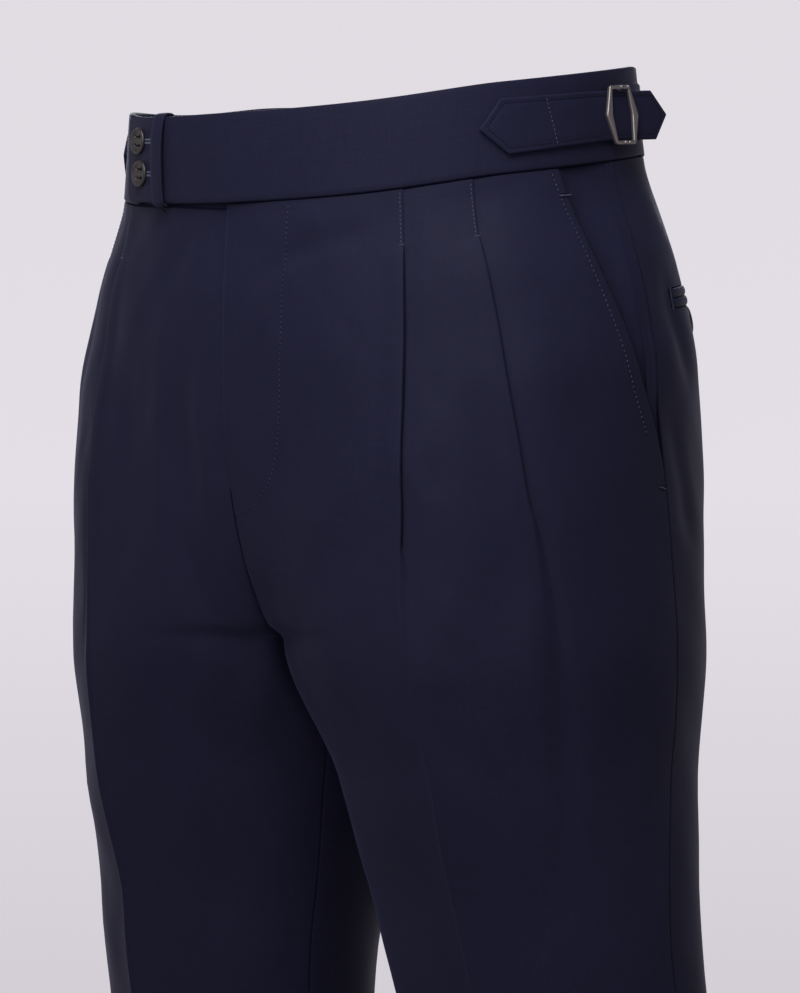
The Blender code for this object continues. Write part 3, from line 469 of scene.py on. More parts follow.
# ---- Meshes ---------------------------------------------------------------------------------------------
class Shape:
    """Points, faces and grain places (round and up the cloth, in millimetres) of one piece as it grows."""

    def __init__(self):
        self.verts, self.faces, self.grain = [], [], []
        self.count = 0

    def add(self, verts, faces, grain=None):
        verts = np.asarray(verts, float).reshape(-1, 3)
        self.verts.append(verts)
        self.faces += [tuple(i + self.count for i in face) for face in faces]
        grain = np.zeros((len(verts), 2)) if grain is None else np.asarray(grain, float)
        self.grain.append(grain.reshape(-1, 2))
        self.count += len(verts)
        return self

    def join(self, other):
        """Take in another shape's points and faces."""
        self.add(np.concatenate(other.verts), other.faces, np.concatenate(other.grain))


def grid_faces(rows, columns, first=0, flip=False, around=False):
    """Quads between the points of a grid; around closes each row on itself."""
    wide = columns if around else columns - 1
    r, c = np.meshgrid(np.arange(rows - 1), np.arange(wide), indexing="ij")
    n = (c + 1) % columns
    quads = np.stack([r * columns + c, (r + 1) * columns + c, (r + 1) * columns + n, r * columns + n], -1)
    quads = quads.reshape(-1, 4) + first
    return (quads[:, ::-1] if flip else quads).tolist()


def wall(outer, inner, grain):
    """Closed cloth between an outer and an inner grid of points."""
    rows, columns = outer.shape[:2]
    size = rows * columns
    faces = grid_faces(rows, columns) + grid_faces(rows, columns, size, flip=True)
    rim = ([(0, c) for c in range(columns)] + [(r, columns - 1) for r in range(1, rows)]
           + [(rows - 1, c) for c in range(columns - 2, -1, -1)] + [(r, 0) for r in range(rows - 2, 0, -1)])
    ring = [r * columns + c for r, c in rim]
    for a, b in zip(ring, ring[1:] + ring[:1]):
        faces.append((a, b, b + size, a + size))
    return Shape().add(np.concatenate([outer.reshape(-1, 3), inner.reshape(-1, 3)]), faces,
                       np.concatenate([grain.reshape(-1, 2)] * 2))


def sweep(rings, grain=None, capped=True):
    """A run of equal rings joined into a tube; each ring turns against the run's direction."""
    rings = np.asarray(rings, float)
    count, size = rings.shape[:2]
    faces = grid_faces(count, size, around=True)
    if capped:
        faces += [tuple(range(size)), tuple(reversed(range((count - 1) * size, count * size)))]
    return Shape().add(rings, faces, grain)


def closed_ring(rings, grain=None, flip=False):
    """A run of equal rings whose last one is joined to its first."""
    count, size = rings.shape[:2]
    faces = [tuple(i % (count * size) for i in face) for face in grid_faces(count + 1, size, 0, flip, True)]
    return Shape().add(rings, faces, grain)


def rounded(path, times):
    """Cut the corners of polylines (the last two axes are points and their parts) times over."""
    for _ in range(times):
        before, after = path[..., :-1, :], path[..., 1:, :]
        cut = np.stack([0.75 * before + 0.25 * after, 0.25 * before + 0.75 * after], -2)
        cut = cut.reshape(*path.shape[:-2], -1, path.shape[-1])
        path = np.concatenate([path[..., :1, :], cut, path[..., -1:, :]], -2)
    return path


def both_sides(path, thickness):
    """Offset centrelines of (u, v) points to their outer and inner sides."""
    along = np.diff(path, axis=-2)
    along /= np.maximum(np.linalg.norm(along, axis=-1, keepdims=True), 1e-9)
    side = np.stack([-along[..., 1], along[..., 0]], -1)
    before = np.concatenate([side[..., :1, :], side], -2)
    after = np.concatenate([side, side[..., -1:, :]], -2)
    spread = np.maximum(1 + np.sum(before * after, axis=-1, keepdims=True), 0.5)
    offset = (before + after) / spread * thickness / 2
    return path + offset, path - offset


def resampled(points, count):
    """Points at even distances along a polyline."""
    points = np.asarray(points, float)
    reach = reach_along(points)
    at = np.linspace(0, reach[-1], count)
    return np.stack([np.interp(at, reach, part) for part in points.T], -1)


def make_piece(name, shape, material, side="left", replaces=None, sharp=50.0):
    """Turn a shape into a named object on the trousers' body, mirrored where it is a right-hand piece."""
    verts = np.concatenate(shape.verts)
    grain = np.concatenate(shape.grain)
    faces = shape.faces
    if side == "right":
        verts[:, 0] *= -1
        grain[:, 0] *= -1
        faces = [tuple(reversed(face)) for face in faces]
        verts[:, 2] -= (FLY_DROOP["drop"] * near_fly(verts, FLY_DROOP)
                        * smoothstep(1 - verts[:, 0] / FLY_DROOP["reach"]))
    verts[:, 2] -= right_drop(verts)
    verts[:, 0] += (FLY_SHIFT["by"] * near_fly(verts, FLY_SHIFT)
                    * np.exp(-(verts[:, 0] / FLY_SHIFT["width"]) ** 2))
    mesh = bpy.data.meshes.new(name)
    mesh.from_pydata((verts * MM).tolist(), [], faces)
    corners = np.zeros(len(mesh.loops), np.int32)
    mesh.loops.foreach_get("vertex_index", corners)
    mesh.uv_layers.new(name="grain").uv.foreach_set("vector", (grain[corners] * MM).astype(np.float32).ravel())
    mesh.shade_smooth()
    mesh.set_sharp_from_angle(angle=math.radians(sharp))
    mesh.materials.append(material)
    piece = bpy.data.objects.new(name, mesh)
    bpy.context.scene.collection.objects.link(piece)
    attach(piece, "root")
    if replaces:
        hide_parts(replaces)
    return piece


# ---- Shader expressions ---------------------------------------------------------------------------------
class Value:
    """A shader's output socket that can be used in Python's arithmetic."""

    def __init__(self, shader, socket):
        self.shader, self.socket = shader, socket

    def _math(self, operation, a, b):
        return self.shader.node("ShaderNodeMath", {"operation": operation}, {0: a, 1: b})

    def __add__(self, other):
        return self._math("ADD", self, other)

    def __mul__(self, other):
        return self._math("MULTIPLY", self, other)

    __radd__, __rmul__ = __add__, __mul__

    def sine(self):
        return self._math("SINE", self, 0.0)

    def clamped(self, low, high):
        """This value brought from low..high to 0..1."""
        return self.shader.node("ShaderNodeMapRange", {"clamp": True},
                                {"Value": self, "From Min": low, "From Max": high})


class Shader:
    """Builds one node tree: a material's, or the world's."""

    def __init__(self, tree):
        self.tree = tree

    def node(self, kind, settings=None, sockets=None, output=0):
        node = self.tree.nodes.new(kind)
        for name, value in (settings or {}).items():
            if name == "stops":
                self._set_stops(node.color_ramp.elements, value)
            else:
                setattr(node, name, value)
        for name, value in (sockets or {}).items():
            self.put(value, node.inputs[name])
        return Value(self, node.outputs[output])

    def put(self, value, socket):
        if isinstance(value, Value):
            self.tree.links.new(value.socket, socket)
        else:
            socket.default_value = value

    @staticmethod
    def _set_stops(elements, stops):
        while len(elements) < len(stops):
            elements.new(0.5)
        for element, (position, color) in zip(elements, stops):
            element.position = position
            element.color = (*color, 1)

    def mix(self, factor, a, b):
        """Colour between a and b."""
        sockets = {"Factor": factor, 6: a if isinstance(a, Value) else (*a, 1),
                   7: b if isinstance(b, Value) else (*b, 1)}
        return self.node("ShaderNodeMix", {"data_type": "RGBA"}, sockets, output=2)

    def noise(self, vector, scale, detail=2.0, roughness=0.5):
        return self.node("ShaderNodeTexNoise", None, {"Vector": vector, "Scale": scale, "Detail": detail,
                                                      "Roughness": roughness})

    def streaks(self, place, across, up):
        """Noise drawn out along the height."""
        drawn = self.node("ShaderNodeVectorMath", {"operation": "MULTIPLY"}, {0: place, 1: (across, across, up)})
        return self.noise(drawn, 1.0, 2.0)

    def grain(self):
        """Places round and up the cloth, in millimetres."""
        uv = self.node("ShaderNodeUVMap", {"uv_map": "grain"})
        parts = self.node("ShaderNodeSeparateXYZ", None, {0: uv})
        up = Value(self, parts.socket.node.outputs[1])
        return parts * 1000.0, up * 1000.0

    def stretched(self, x, y):
        return self.node("ShaderNodeCombineXYZ", None, {0: x, 1: y, 2: 0.0})

    def place(self):
        return self.node("ShaderNodeTexCoord", None, None, output=3)

    def bump(self, height, distance):
        return self.node("ShaderNodeBump", None, {"Strength": 1.0, "Distance": distance, "Height": height})


def principled(name, constants, varying):
    """A material from numbers for the whole surface and a function that gives its varying sockets."""
    material = bpy.data.materials.get(name)
    if material:
        return material
    material = bpy.data.materials.new(name)
    material.use_nodes = True
    shader = Shader(material.node_tree)
    sockets = material.node_tree.nodes["Principled BSDF"].inputs
    for socket, value in {**constants, **varying(shader)}.items():
        shader.put(value, sockets[socket])
    return material


def scaled(color, *by):
    """A colour with its three parts multiplied by one number or by three."""
    return tuple(np.multiply(color, by).tolist())


# ---- Materials ------------------------------------------------------------------------------------------
TWILL_PITCH = 1.12          # millimetres from one twill line to the next, across them


def suiting(looks):
    """Navy wool twill: fine diagonal lines, uneven yarns and a faint bloom."""
    cloth = tuple(looks.cloth_color)

    def varying(shader):
        x, y = shader.grain()
        place = shader.stretched(x, y)
        across = (x + y) * (math.sqrt(0.5) / TWILL_PITCH)
        waver = shader.noise(place, 0.12, 2.0)
        line = (across * (2 * math.pi) + waver * 3.2).sine() * 0.5 + 0.5
        warp = shader.noise(shader.stretched(x * 0.8, y * 0.045), 1.0, 3.0)
        weft = shader.noise(shader.stretched(x * 0.045, y * 0.8), 1.0, 3.0)
        mottle = shader.noise(place, 0.17, 3.0, 0.6)
        fluff = shader.noise(place, 1.3, 2.0)
        yarn = warp * 0.5 + weft * 0.5
        tone = shader.mix((yarn * 0.7 + fluff * 0.3).clamped(0.36, 0.64), scaled(cloth, 0.74), scaled(cloth, 1.30))
        violet, teal = scaled(cloth, 1.14, 0.92, 0.97), scaled(cloth, 0.88, 1.06, 1.04)
        base = shader.mix(0.5, tone, shader.mix(mottle.clamped(0.38, 0.62), violet, teal))
        worn = fluff.clamped(0.30, 0.66) * 0.7 + 0.3
        lined = shader.mix(line * worn * looks.twill_contrast, base, scaled(cloth, 0.30))
        height = line * 0.8 + yarn * 0.6 + fluff * 0.3
        return {"Base Color": lined,
                "Roughness": yarn * 0.16 + 0.46,
                "Normal": shader.bump(height, looks.weave_depth * MM)}

    constants = {"Specular IOR Level": looks.cloth_shine, "Sheen Weight": looks.sheen, "Sheen Roughness": 0.35,
                 "Sheen Tint": (*looks.sheen_color, 1)}
    return principled("navy_wool_twill", constants, varying)


def sewing_thread(looks, dark=False):
    """Fine twisted thread, a little lighter than the cloth; the dark one is coloured much darker than the cloth
    itself, painted shade for where thread sinks into it.
    """
    color = tuple(looks.painted_shade_thread_color if dark else looks.thread_color)

    def varying(shader):
        uneven = shader.noise(shader.place(), 900.0, 2.0)
        return {"Base Color": shader.mix(uneven.clamped(0.35, 0.65), scaled(color, 0.7), scaled(color, 1.3)),
                "Roughness": uneven * 0.2 + 0.5}

    return principled("sunk_thread" if dark else "sewing_thread",
                      {"Specular IOR Level": 0.05 if dark else 0.2, "Sheen Weight": 0.0 if dark else 0.1}, varying)


def horn(looks):
    """Dark brown horn: cloudy streaks under a satin polish."""
    color = tuple(looks.button_color)

    def varying(shader):
        place = shader.place()
        cloud = shader.noise(place, 160.0, 4.0, 0.6)
        streak = shader.streaks(place, 1500.0, 220.0)
        blend = (cloud * 0.7 + streak * 0.3).clamped(0.38, 0.64)
        base = shader.mix(blend, scaled(color, 0.6), scaled(color, 2.0, 1.7, 1.6))
        scratches = shader.noise(place, 2600.0, 1.0)
        return {"Base Color": base, "Roughness": cloud * 0.16 + 0.36,
                "Normal": shader.bump(cloud * 0.6 + scratches * 0.2, 0.04 * MM)}

    return principled("dark_horn", {"Specular IOR Level": 0.35}, varying)


def gunmetal(looks):
    """Plated dark metal, faintly brushed, with slightly duller patches."""
    color = tuple(looks.metal_color)

    def varying(shader):
        place = shader.place()
        brushed = shader.streaks(place, 3000.0, 260.0)
        patch = shader.noise(place, 240.0, 3.0)
        base = shader.mix(patch.clamped(0.35, 0.65), scaled(color, 0.8), scaled(color, 1.2))
        return {"Base Color": base, "Roughness": brushed * 0.10 + patch * 0.12 + 0.16,
                "Normal": shader.bump(brushed, 0.012 * MM)}

    return principled("gunmetal", {"Metallic": 1.0}, varying)


# ---- Cloth panels ---------------------------------------------------------------------------------------
SEAM_TUCK = 2.4             # how far a panel's top turns in behind the waistband


def panel_heights(extra=()):
    """Heights of a panel's rows: close together by the waist, the pleats and the crotch."""
    top = [8.0, 2.5, *np.arange(0.6, -1.2, -0.3), -1.6, *np.arange(-2.8, -42, -2.8)]
    middle = np.arange(-42, -338, -4.4)
    leg = np.arange(-338, HEM + 14, -12.0)
    end = [HEM + 14, HEM + 5, HEM + 1.5, HEM]
    near_crotch = [CROTCH + 5, CROTCH + 2.5, CROTCH, CROTCH - 2.5, CROTCH - 5]
    rest = [h for h in (*top, *middle, *leg) if abs(h - CROTCH) > 6.5]
    heights = sorted({*rest, *end, *near_crotch, *extra}, reverse=True)
    kept = heights[:1]
    for h in heights[1:]:
        if kept[-1] - h > 0.25:
            kept.append(h)
    return np.array(kept)


def seam_tuck(h):
    """How far cloth turns in behind the waistband at its seam."""
    return -SEAM_TUCK * smoothstep((h + 1.0) / 1.4)


def turned_edge(u, inward, level):
    """Centreline of an edge turned under, from the layer below to the top one, for columns of values."""
    offsets = [(8.0, 1.0), (3.0, 1.0), (0.55, 1.0), (0.0, 0.5), (0.55, 0.0), (1.8, 0.0)]
    return [(u + inward * away, level - FOLD_STEP * below) for away, below in offsets]


def pleat_path(pleat, heights, cloth):
    """Centreline across a pleat: over its edge, back under it and forward again."""
    place, under, step, proud = (pleat(name, heights) for name in ("place", "under", "step", "proud"))
    edge = place - cloth / 2
    opening = cloth - under
    folded = opening < 0
    share = np.clip((opening + PLEAT_RUN_IN / 2) / (PLEAT_RUN_IN / 2), 0, 1)
    inner = np.where(share > 0, proud * (0.75 + 0.25 * share), 0.75 * proud)
    run_in = [(place - PLEAT_RUN_IN, 0 * place), (place - PLEAT_RUN_IN / 2, 0.75 * proud),
              (place - 2.2, 0.97 * proud)]
    corners = []
    for k, part in enumerate((0.0, 0.33, 0.67, 1.0)):
        folded_u = (edge, edge, edge + opening, edge + opening)[k]
        folded_v = (proud, proud - step, inner - step, inner - 2 * step)[k]
        corners.append((np.where(folded, folded_u, edge + opening * part),
                        np.where(folded, folded_v, proud - 2 * step * part)))
    level_to = np.where(folded, place + 1.0, edge + opening + 1.5)
    end = place + PLEAT_RUN_OUT
    low = proud - 2 * step
    return run_in + corners + [(level_to, low), (0.72 * level_to + 0.28 * end, 0.75 * low),
                               (0.4 * level_to + 0.6 * end, 0.28 * low), (end, 0 * place)]


def spaced(start, end, count):
    """Level points between two columns of places, without the ends."""
    return [(start + (end - start) * k / (count + 1), 0 * start) for k in range(1, count + 1)]


def front_path(rows, lapped, cloth):
    """Centrelines of all rows of a front panel; lapped is the right front, under the left one at the fly."""
    h = rows.h
    middle = -rows.distance(0, 0.5) + np.where(h < CROTCH + 0.5, SEAM_GAP / 2, 0) + cloth / 2
    pocket = SIDE_POCKET("inset", h)
    edge = rows.distance(0.5, 1) - np.maximum(pocket, SEAM_GAP / 2) - cloth / 2
    start, sunk = turned_edge(middle, 1, 0), 0 * h
    if lapped:
        sewn = ramp(h, FLY_LAP_END, FLY_DROP_END)
        lap = [(middle - FLY_LAP + 2.0 * k, -FLY_DROP + 0 * h) for k in range(6)]
        start = [(a + (b - a) * sewn, c + (d - c) * sewn) for (a, c), (b, d) in zip(lap, start)]
        sunk = -FLY_DROP * (1 - sewn)
    start += [(middle + 4, sunk), (middle + 13, 0 * h)]
    first, second = (pleat_path(pleat, h, cloth) for pleat in PLEATS)
    lapping = edge - POCKET_UNDERLAP
    return (start + spaced(start[-1][0], first[0][0], 9) + first
            + spaced(first[-1][0], second[0][0], 2) + second
            + spaced(second[-1][0], lapping, 5) + [(lapping, 0 * h), (edge - 5, 0 * h)]
            + turned_edge(edge, -1, 0)[::-1])


def laid_cloth(rows, start, path, cloth, side, lift=None):
    """Outer and inner points and grain of cloth whose centrelines, columns (u, v) of places, are laid on the
    form's rows."""
    path = rounded(np.stack([paired(u, v - cloth / 2) for u, v in path], 1), 2)
    grids = []
    for u, v in (np.moveaxis(line, -1, 0) for line in both_sides(path, cloth)):
        s = rows.place(start, u)
        extra = 0 if lift is None else lift(s, rows.h[:, None])
        grids.append(on_form(s, rows.h[:, None], v + extra + seam_tuck(rows.h[:, None]), side))
    return (*grids, paired(path[..., 0], rows.h[:, None]))


def flat_size(outer):
    """Flat width, length and area, in metres, of cloth given by its outer grid of points."""
    widths = np.linalg.norm(np.diff(outer, axis=1), axis=2).sum(1)
    lengths = np.linalg.norm(np.diff(outer, axis=0), axis=2).sum(0)
    steps = np.linalg.norm(np.diff(outer, axis=0), axis=2).mean(1)
    area = float((0.5 * (widths[1:] + widths[:-1]) * steps).sum()) * MM * MM
    width, length = float(widths.max()) * MM, float(lengths.max()) * MM
    return (width, length), min(area, 0.999 * width * length)


def add_cloth(name, outer, inner, grain, looks, side, replaces):
    """Make a closed cloth piece from its two faces; its flat size and area are worked out but not used."""
    piece = make_piece(name, wall(outer, inner, grain), suiting(looks), side, replaces)
    flat, area = flat_size(outer)


def crease_edge(s, h):
    """The sharp line pressed along the creases."""
    return CREASE["rise"] * sum(
        np.exp(-((s - middle) * ROUND_SCALE / CREASE["width"]) ** 2) * ramp(h, start, full)
        for middle, start, full in ((0.5, -200, -260), (1.5, -120, -200)))


def fly_edge(s, h):
    """The left front's folded edge stands a little proud along the fly."""
    return (FLY_EDGE["rise"] * np.exp(-(s * ROUND_SCALE / FLY_EDGE["width"]) ** 2)
            * ramp(h, FLY_EDGE["start"], FLY_EDGE["full"]) * smoothstep(-h / 10))


def build_front(looks, side):
    """A pleated front panel; the right one runs on under the left one at the fly."""
    lapped = side == "right"
    rows = Rows(panel_heights(extra=(PLEAT_SEWN_TO, -34.0, -36.0, -38.0)))
    path = front_path(rows, lapped, looks.cloth_thickness)
    cloth = laid_cloth(rows, 0.5, path, looks.cloth_thickness, side,
                       lambda s, h: crease_edge(s, h) + (0 if lapped else fly_edge(s, h)))
    add_cloth(f"front_panel_{side}", *cloth, looks, side, f"front_{side}")


def pocket_recess(s, h):
    """How far the back panel is moved for the jetted pocket's strips, inwards below zero."""
    pocket = BACK_POCKET
    beyond, slope, above, fall = (pocket[name] for name in ("beyond", "slope", "above", "fall"))
    wide = (smoothstep((s - pocket["front"] + beyond) / slope)
            * smoothstep((pocket["back"] + beyond - s) / slope))
    tall = (smoothstep((pocket["top"] + above - h) / fall)
            * smoothstep((h - pocket["bottom"] + above) / fall))
    return -pocket["depth"] * wide * tall


def dart(s, h):
    """The back dart's seam, from the waist down to the pocket."""
    line = DART["place"] + DART["lean"] * h
    return (-DART["depth"] * np.exp(-((s - line) * ROUND_SCALE / DART["width"]) ** 2)
            * smoothstep((h - BACK_POCKET["top"]) / 12))


# The back panel's columns, close together at the pocket's ends and at the dart.
BACK_COLUMNS = [1.03, 1.055, 1.08, BACK_POCKET["front"] - BACK_POCKET["beyond"], BACK_POCKET["front"], 1.12,
                1.15, 1.18, 1.21, 1.24, 1.265, 1.285, 1.293, 1.30, 1.307, 1.32, 1.345, 1.37, 1.40, 1.43, 1.46,
                1.485, BACK_POCKET["back"], BACK_POCKET["back"] + BACK_POCKET["beyond"], 1.53, 1.56, 1.59,
                1.62, 1.65, 1.69, 1.73, 1.77, 1.81, 1.85, 1.89, 1.93]


def build_back(looks, side):
    """A back panel, sunk where its pocket's strips lie."""
    lines = [BACK_POCKET["top"] + d for d in (1.2, 0.4, 0.0, -0.4, -1.0)]
    lines += [BACK_POCKET["bottom"] + d for d in (1.0, 0.4, 0.0, -0.4, -1.2)]
    rows = Rows(panel_heights(extra=lines))
    cloth = looks.cloth_thickness
    h = rows.h
    first = SEAM_GAP / 2 + cloth / 2 + 0 * h
    last = rows.distance(1, 2) - np.where(h < CROTCH + 0.5, SEAM_GAP / 2, 0) - cloth / 2
    path = (turned_edge(first, 1, 0) + [(rows.distance(1, s), 0 * h) for s in BACK_COLUMNS]
            + turned_edge(last, -1, 0)[::-1])
    cloth = laid_cloth(rows, 1, path, cloth, side,
                       lambda s, at: crease_edge(s, at) + pocket_recess(s, at) + dart(s, at))
    add_cloth(f"back_panel_{side}", *cloth, looks, side, f"back_{side}")


def build_facing(looks, side):
    """The cloth behind the slanted pocket: under the front's edge, then level with it to the side seam."""
    top = panel_heights()
    rows = Rows(np.concatenate([top[top > -3], np.arange(-3, POCKET_END, -3.2), [POCKET_END]]))
    cloth = looks.cloth_thickness
    inset = SIDE_POCKET("inset", rows.h)
    side_seam = rows.distance(0.5, 1) - SEAM_GAP / 2 - cloth / 2
    edge = side_seam - np.maximum(inset - SEAM_GAP / 2, 0)
    level = -POCKET_DROP * (1 - smoothstep(inset / 12.0))
    path = [(edge - POCKET_UNDERLAP * (1 - k / 4), -POCKET_DROP + 0 * inset) for k in range(4)]
    for part in (0.0, 0.12, 0.25, 0.4, 0.55, 0.7, 0.85):
        rise = (-POCKET_DROP + (level + POCKET_DROP) * part ** 2
                - POCKET_SAG * math.sin(math.pi * part ** 0.7) * smoothstep(inset / 20.0))
        path.append((edge + (side_seam - 2.0 - edge) * part, rise))
    path += turned_edge(side_seam, -1, level)[::-1]
    add_cloth(f"pocket_facing_cloth_{side}", *laid_cloth(rows, 0.5, path, cloth, side), looks, side,
              f"pocket_facing_{side}")


def build_jet(looks, side, name, top, bottom):
    """One folded strip of the jetted pocket, rolled softly over its edges."""
    s = np.linspace(BACK_POCKET["front"] + 0.002, BACK_POCKET["back"] - 0.002, 90)
    t = np.linspace(0, 1, 13)[:, None]
    h = top + (bottom - top) * t
    outer = on_form(s, h, 0.15 + 0.95 * np.sin(math.pi * t) ** 0.6, side)
    inner = on_form(s, h, SEAM_GAP - BACK_POCKET["depth"], side)
    piece = make_piece(f"pocket_{name}_{side}", wall(outer, inner, paired(h, s * ROUND_SCALE)), suiting(looks),
                       side, f"{name}_{side}")
    (width, _), _ = flat_size(outer)


def build_hem(looks, side):
    """The hem's cloth, turned up inside the leg."""
    heights = HEM + np.array([HEM_TURN_UP, 32, 20, 10, 3, 1.2, 0.5])
    s = np.linspace(0, 2, 181)[:-1]
    outer, inner = (on_form(s, heights[:, None], -layers * looks.cloth_thickness - 0.35, side)
                    for layers in (1, 2))
    shape = closed_ring(np.concatenate([outer, inner[::-1]]),
                        paired(s * ROUND_SCALE, np.r_[heights, heights[::-1]][:, None]))
    piece = make_piece(f"hem_turn_up_{side}", shape, suiting(looks), side)
    flat, area = flat_size(outer)


# ---- Waistband, tab and keeper --------------------------------------------------------------------------
BAND_FACE = (0.0, 0.06, 0.16, 0.32, 0.5, 0.68, 0.84, 0.94, 1.0)    # places up the band's flat faces


def band_ring(s, low, high, lift, puff):
    """Section of the waistband at s: lower edge, outer face, rounded top, inner face."""
    outer, inner = BAND_PROUD + lift, BAND_PROUD + lift - BAND_THICKNESS
    middle, half = 0.5 * (outer + inner), 0.5 * BAND_THICKNESS
    edge = min(0.9, 0.3 * (high - low))
    section = []
    for a in (-0.5, -0.25):
        section.append((low + edge * (1 + math.sin(a * math.pi)), middle + half * math.cos(a * math.pi)))
    for t in BAND_FACE:
        section.append((low + edge + (high - low - 2 * edge) * t, outer + puff * (1 - (2 * t - 1) ** 4)))
    for a in (0.125, 0.25, 0.375, 0.5, 0.625, 0.75, 0.875):
        section.append((high - edge * (1 - math.sin(a * math.pi)), middle + half * math.cos(a * math.pi)))
    for t in BAND_FACE[::-1]:
        section.append((low + edge + (high - low - 2 * edge) * t, inner))
    section.append((low + edge * 0.3, middle - half * 0.7))
    h, v = np.array(section).T
    return on_form(s, h, v), paired(s * ROUND_SCALE, h)


def band_wave(s):
    """Slight unevenness of the waistband's face along its length."""
    return 0.20 * np.sin(9.0 * s + 0.7) + 0.12 * np.sin(23.0 * s + 2.0)


def build_band_left(looks):
    """The left band, which runs on past the middle front as the buttoned tab over the right band."""
    ramp_in, ramp_out = along_band(0, TAB_RAMP)
    end_s = along_band(TAB_END, TAB_CORNER)[0]
    places = np.concatenate([np.linspace(TAB_END, end_s, 12), np.linspace(end_s, ramp_out - 0.02, 50)[1:],
                             np.linspace(ramp_out - 0.018, ramp_in, 24), np.linspace(ramp_in + 0.012, 2, 190)])
    rings, grain = [], []
    for s in places:
        lift = TAB_LIFT * ramp(s, ramp_in, ramp_out)
        low = SEAM_GAP / 2 + TAB_RISE * max((ramp_out - s) / (ramp_out - TAB_END), 0.0)
        from_end = BAND_ROW.distance(TAB_END, s)[0]
        inside = max(TAB_CORNER - from_end, 0.0)
        cut = TAB_CORNER - math.sqrt(max(TAB_CORNER ** 2 - inside ** 2, 0.0))
        curl = math.exp(-from_end / TAB_CURL_REACH)
        ring, ring_grain = band_ring(s, low + 0.8 * cut, BAND_HEIGHT - cut + TAB_CURL * curl,
                                     lift + TAB_CURL_OUT * curl, 0.15 + 0.5 * band_wave(s) * smoothstep(s / 0.3))
        rings.append(ring)
        grain.append(ring_grain)
    finish_band(looks, "left", rings, grain)


def build_band_right(looks):
    """The right band, which starts under the tab; its lower edge is drawn up there."""
    start = along_band(0, 4.0)[0]
    under_tab = -TAB_END - 0.02
    rings, grain = zip(*(band_ring(s, SEAM_GAP / 2 + TAB_GAP * smoothstep((under_tab - s) / 0.05), BAND_HEIGHT,
                                   0, 0.15 + 0.5 * band_wave(s + 0.4)) for s in np.linspace(start, 2, 200)))
    finish_band(looks, "right", rings, grain)


def finish_band(looks, side, rings, grain):
    """Make one half of the waistband; its length round is worked out but not used."""
    rings = np.array(rings)
    piece = make_piece(f"waistband_cloth_{side}", sweep(rings, np.array(grain)), suiting(looks), side,
                       f"waistband_{side}")
    around = float(np.linalg.norm(np.diff(rings[len(rings) // 2], axis=0), axis=1).sum()) * MM


KEEPER_PATH = [(42.0, -2.7), (50.0, -2.7), (51.3, -1.4), (51.5, 1.6), (50.3, 4.4), (44.0, 5.8), (36.0, 6.7),
               (26.0, 7.0), (14.0, 6.7), (5.0, 6.0), (1.3, 5.5), (0.1, 4.2), (0.0, 2.6)]    # height, lift
KEEPER_EDGE = 0.7           # how far its rounded edges reach in


def build_keeper(looks):
    """Narrow loop that holds the tab: from behind the band over its top edge and down to the seam."""
    path = resampled(rounded(np.array(KEEPER_PATH), 3), 70)
    half = KEEPER["width"] / 2
    turn = np.linspace(-math.pi / 2, math.pi / 2, 5)
    bend = half - KEEPER_EDGE * (1 - np.cos(turn))
    crown = np.array([-half / 2, 0.0, half / 2])
    u = np.concatenate([-bend, crown, bend])
    t = np.concatenate([0.5 + 0.5 * np.sin(turn), 1.0 + 0.10 * np.cos(crown / half * math.pi / 2),
                        0.5 - 0.5 * np.sin(turn)])
    s = along_band(KEEPER["place"], u)
    reach = reach_along(path)
    rings = [on_form(s, *(under[:, None] + (shown - under)[:, None] * t))
             for under, shown in zip(*both_sides(path, KEEPER["cloth"]))]
    piece = make_piece("keeper_loop", sweep(rings, paired(u, -reach[:, None])), suiting(looks),
                       replaces="keeper")


# ---- Side adjusters -------------------------------------------------------------------------------------
def strap_frame(distance):
    """Origin and axes (along, up, outward) of the free strap, distance past where it leaves the band."""
    origin, along, up, normal = frame_at(STRAP["leaves"], STRAP["height"], STRAP["lift"])
    turn, pitch = math.radians(STRAP["splay"]), math.radians(STRAP["pitch"])
    ahead = along * math.cos(turn) + normal * math.sin(turn)
    out = normal * math.cos(turn) - along * math.sin(turn)
    down = ahead * math.cos(pitch) - up * math.sin(pitch)
    return origin + down * distance, down, up * math.cos(pitch) + ahead * math.sin(pitch), out


STRAP_HALF_WIDTHS = [(0.0, 0.3), (13.8, 15.5), (25.0, 15.2), (36.0, 14.9), (47.0, 14.6), (58.0, 14.3),
                     (73.6, 14.1), (79.6, 14.0), (87.6, 13.7), (101.6, 13.7), (116.6, 13.7), (126.6, 0.3)]
STRAP_STITCH_IN = 3.0       # how far inside its edge it is stitched
STRAP_ROW = dict(at=41.0, lean=0.1)   # the row of stitches across the strap


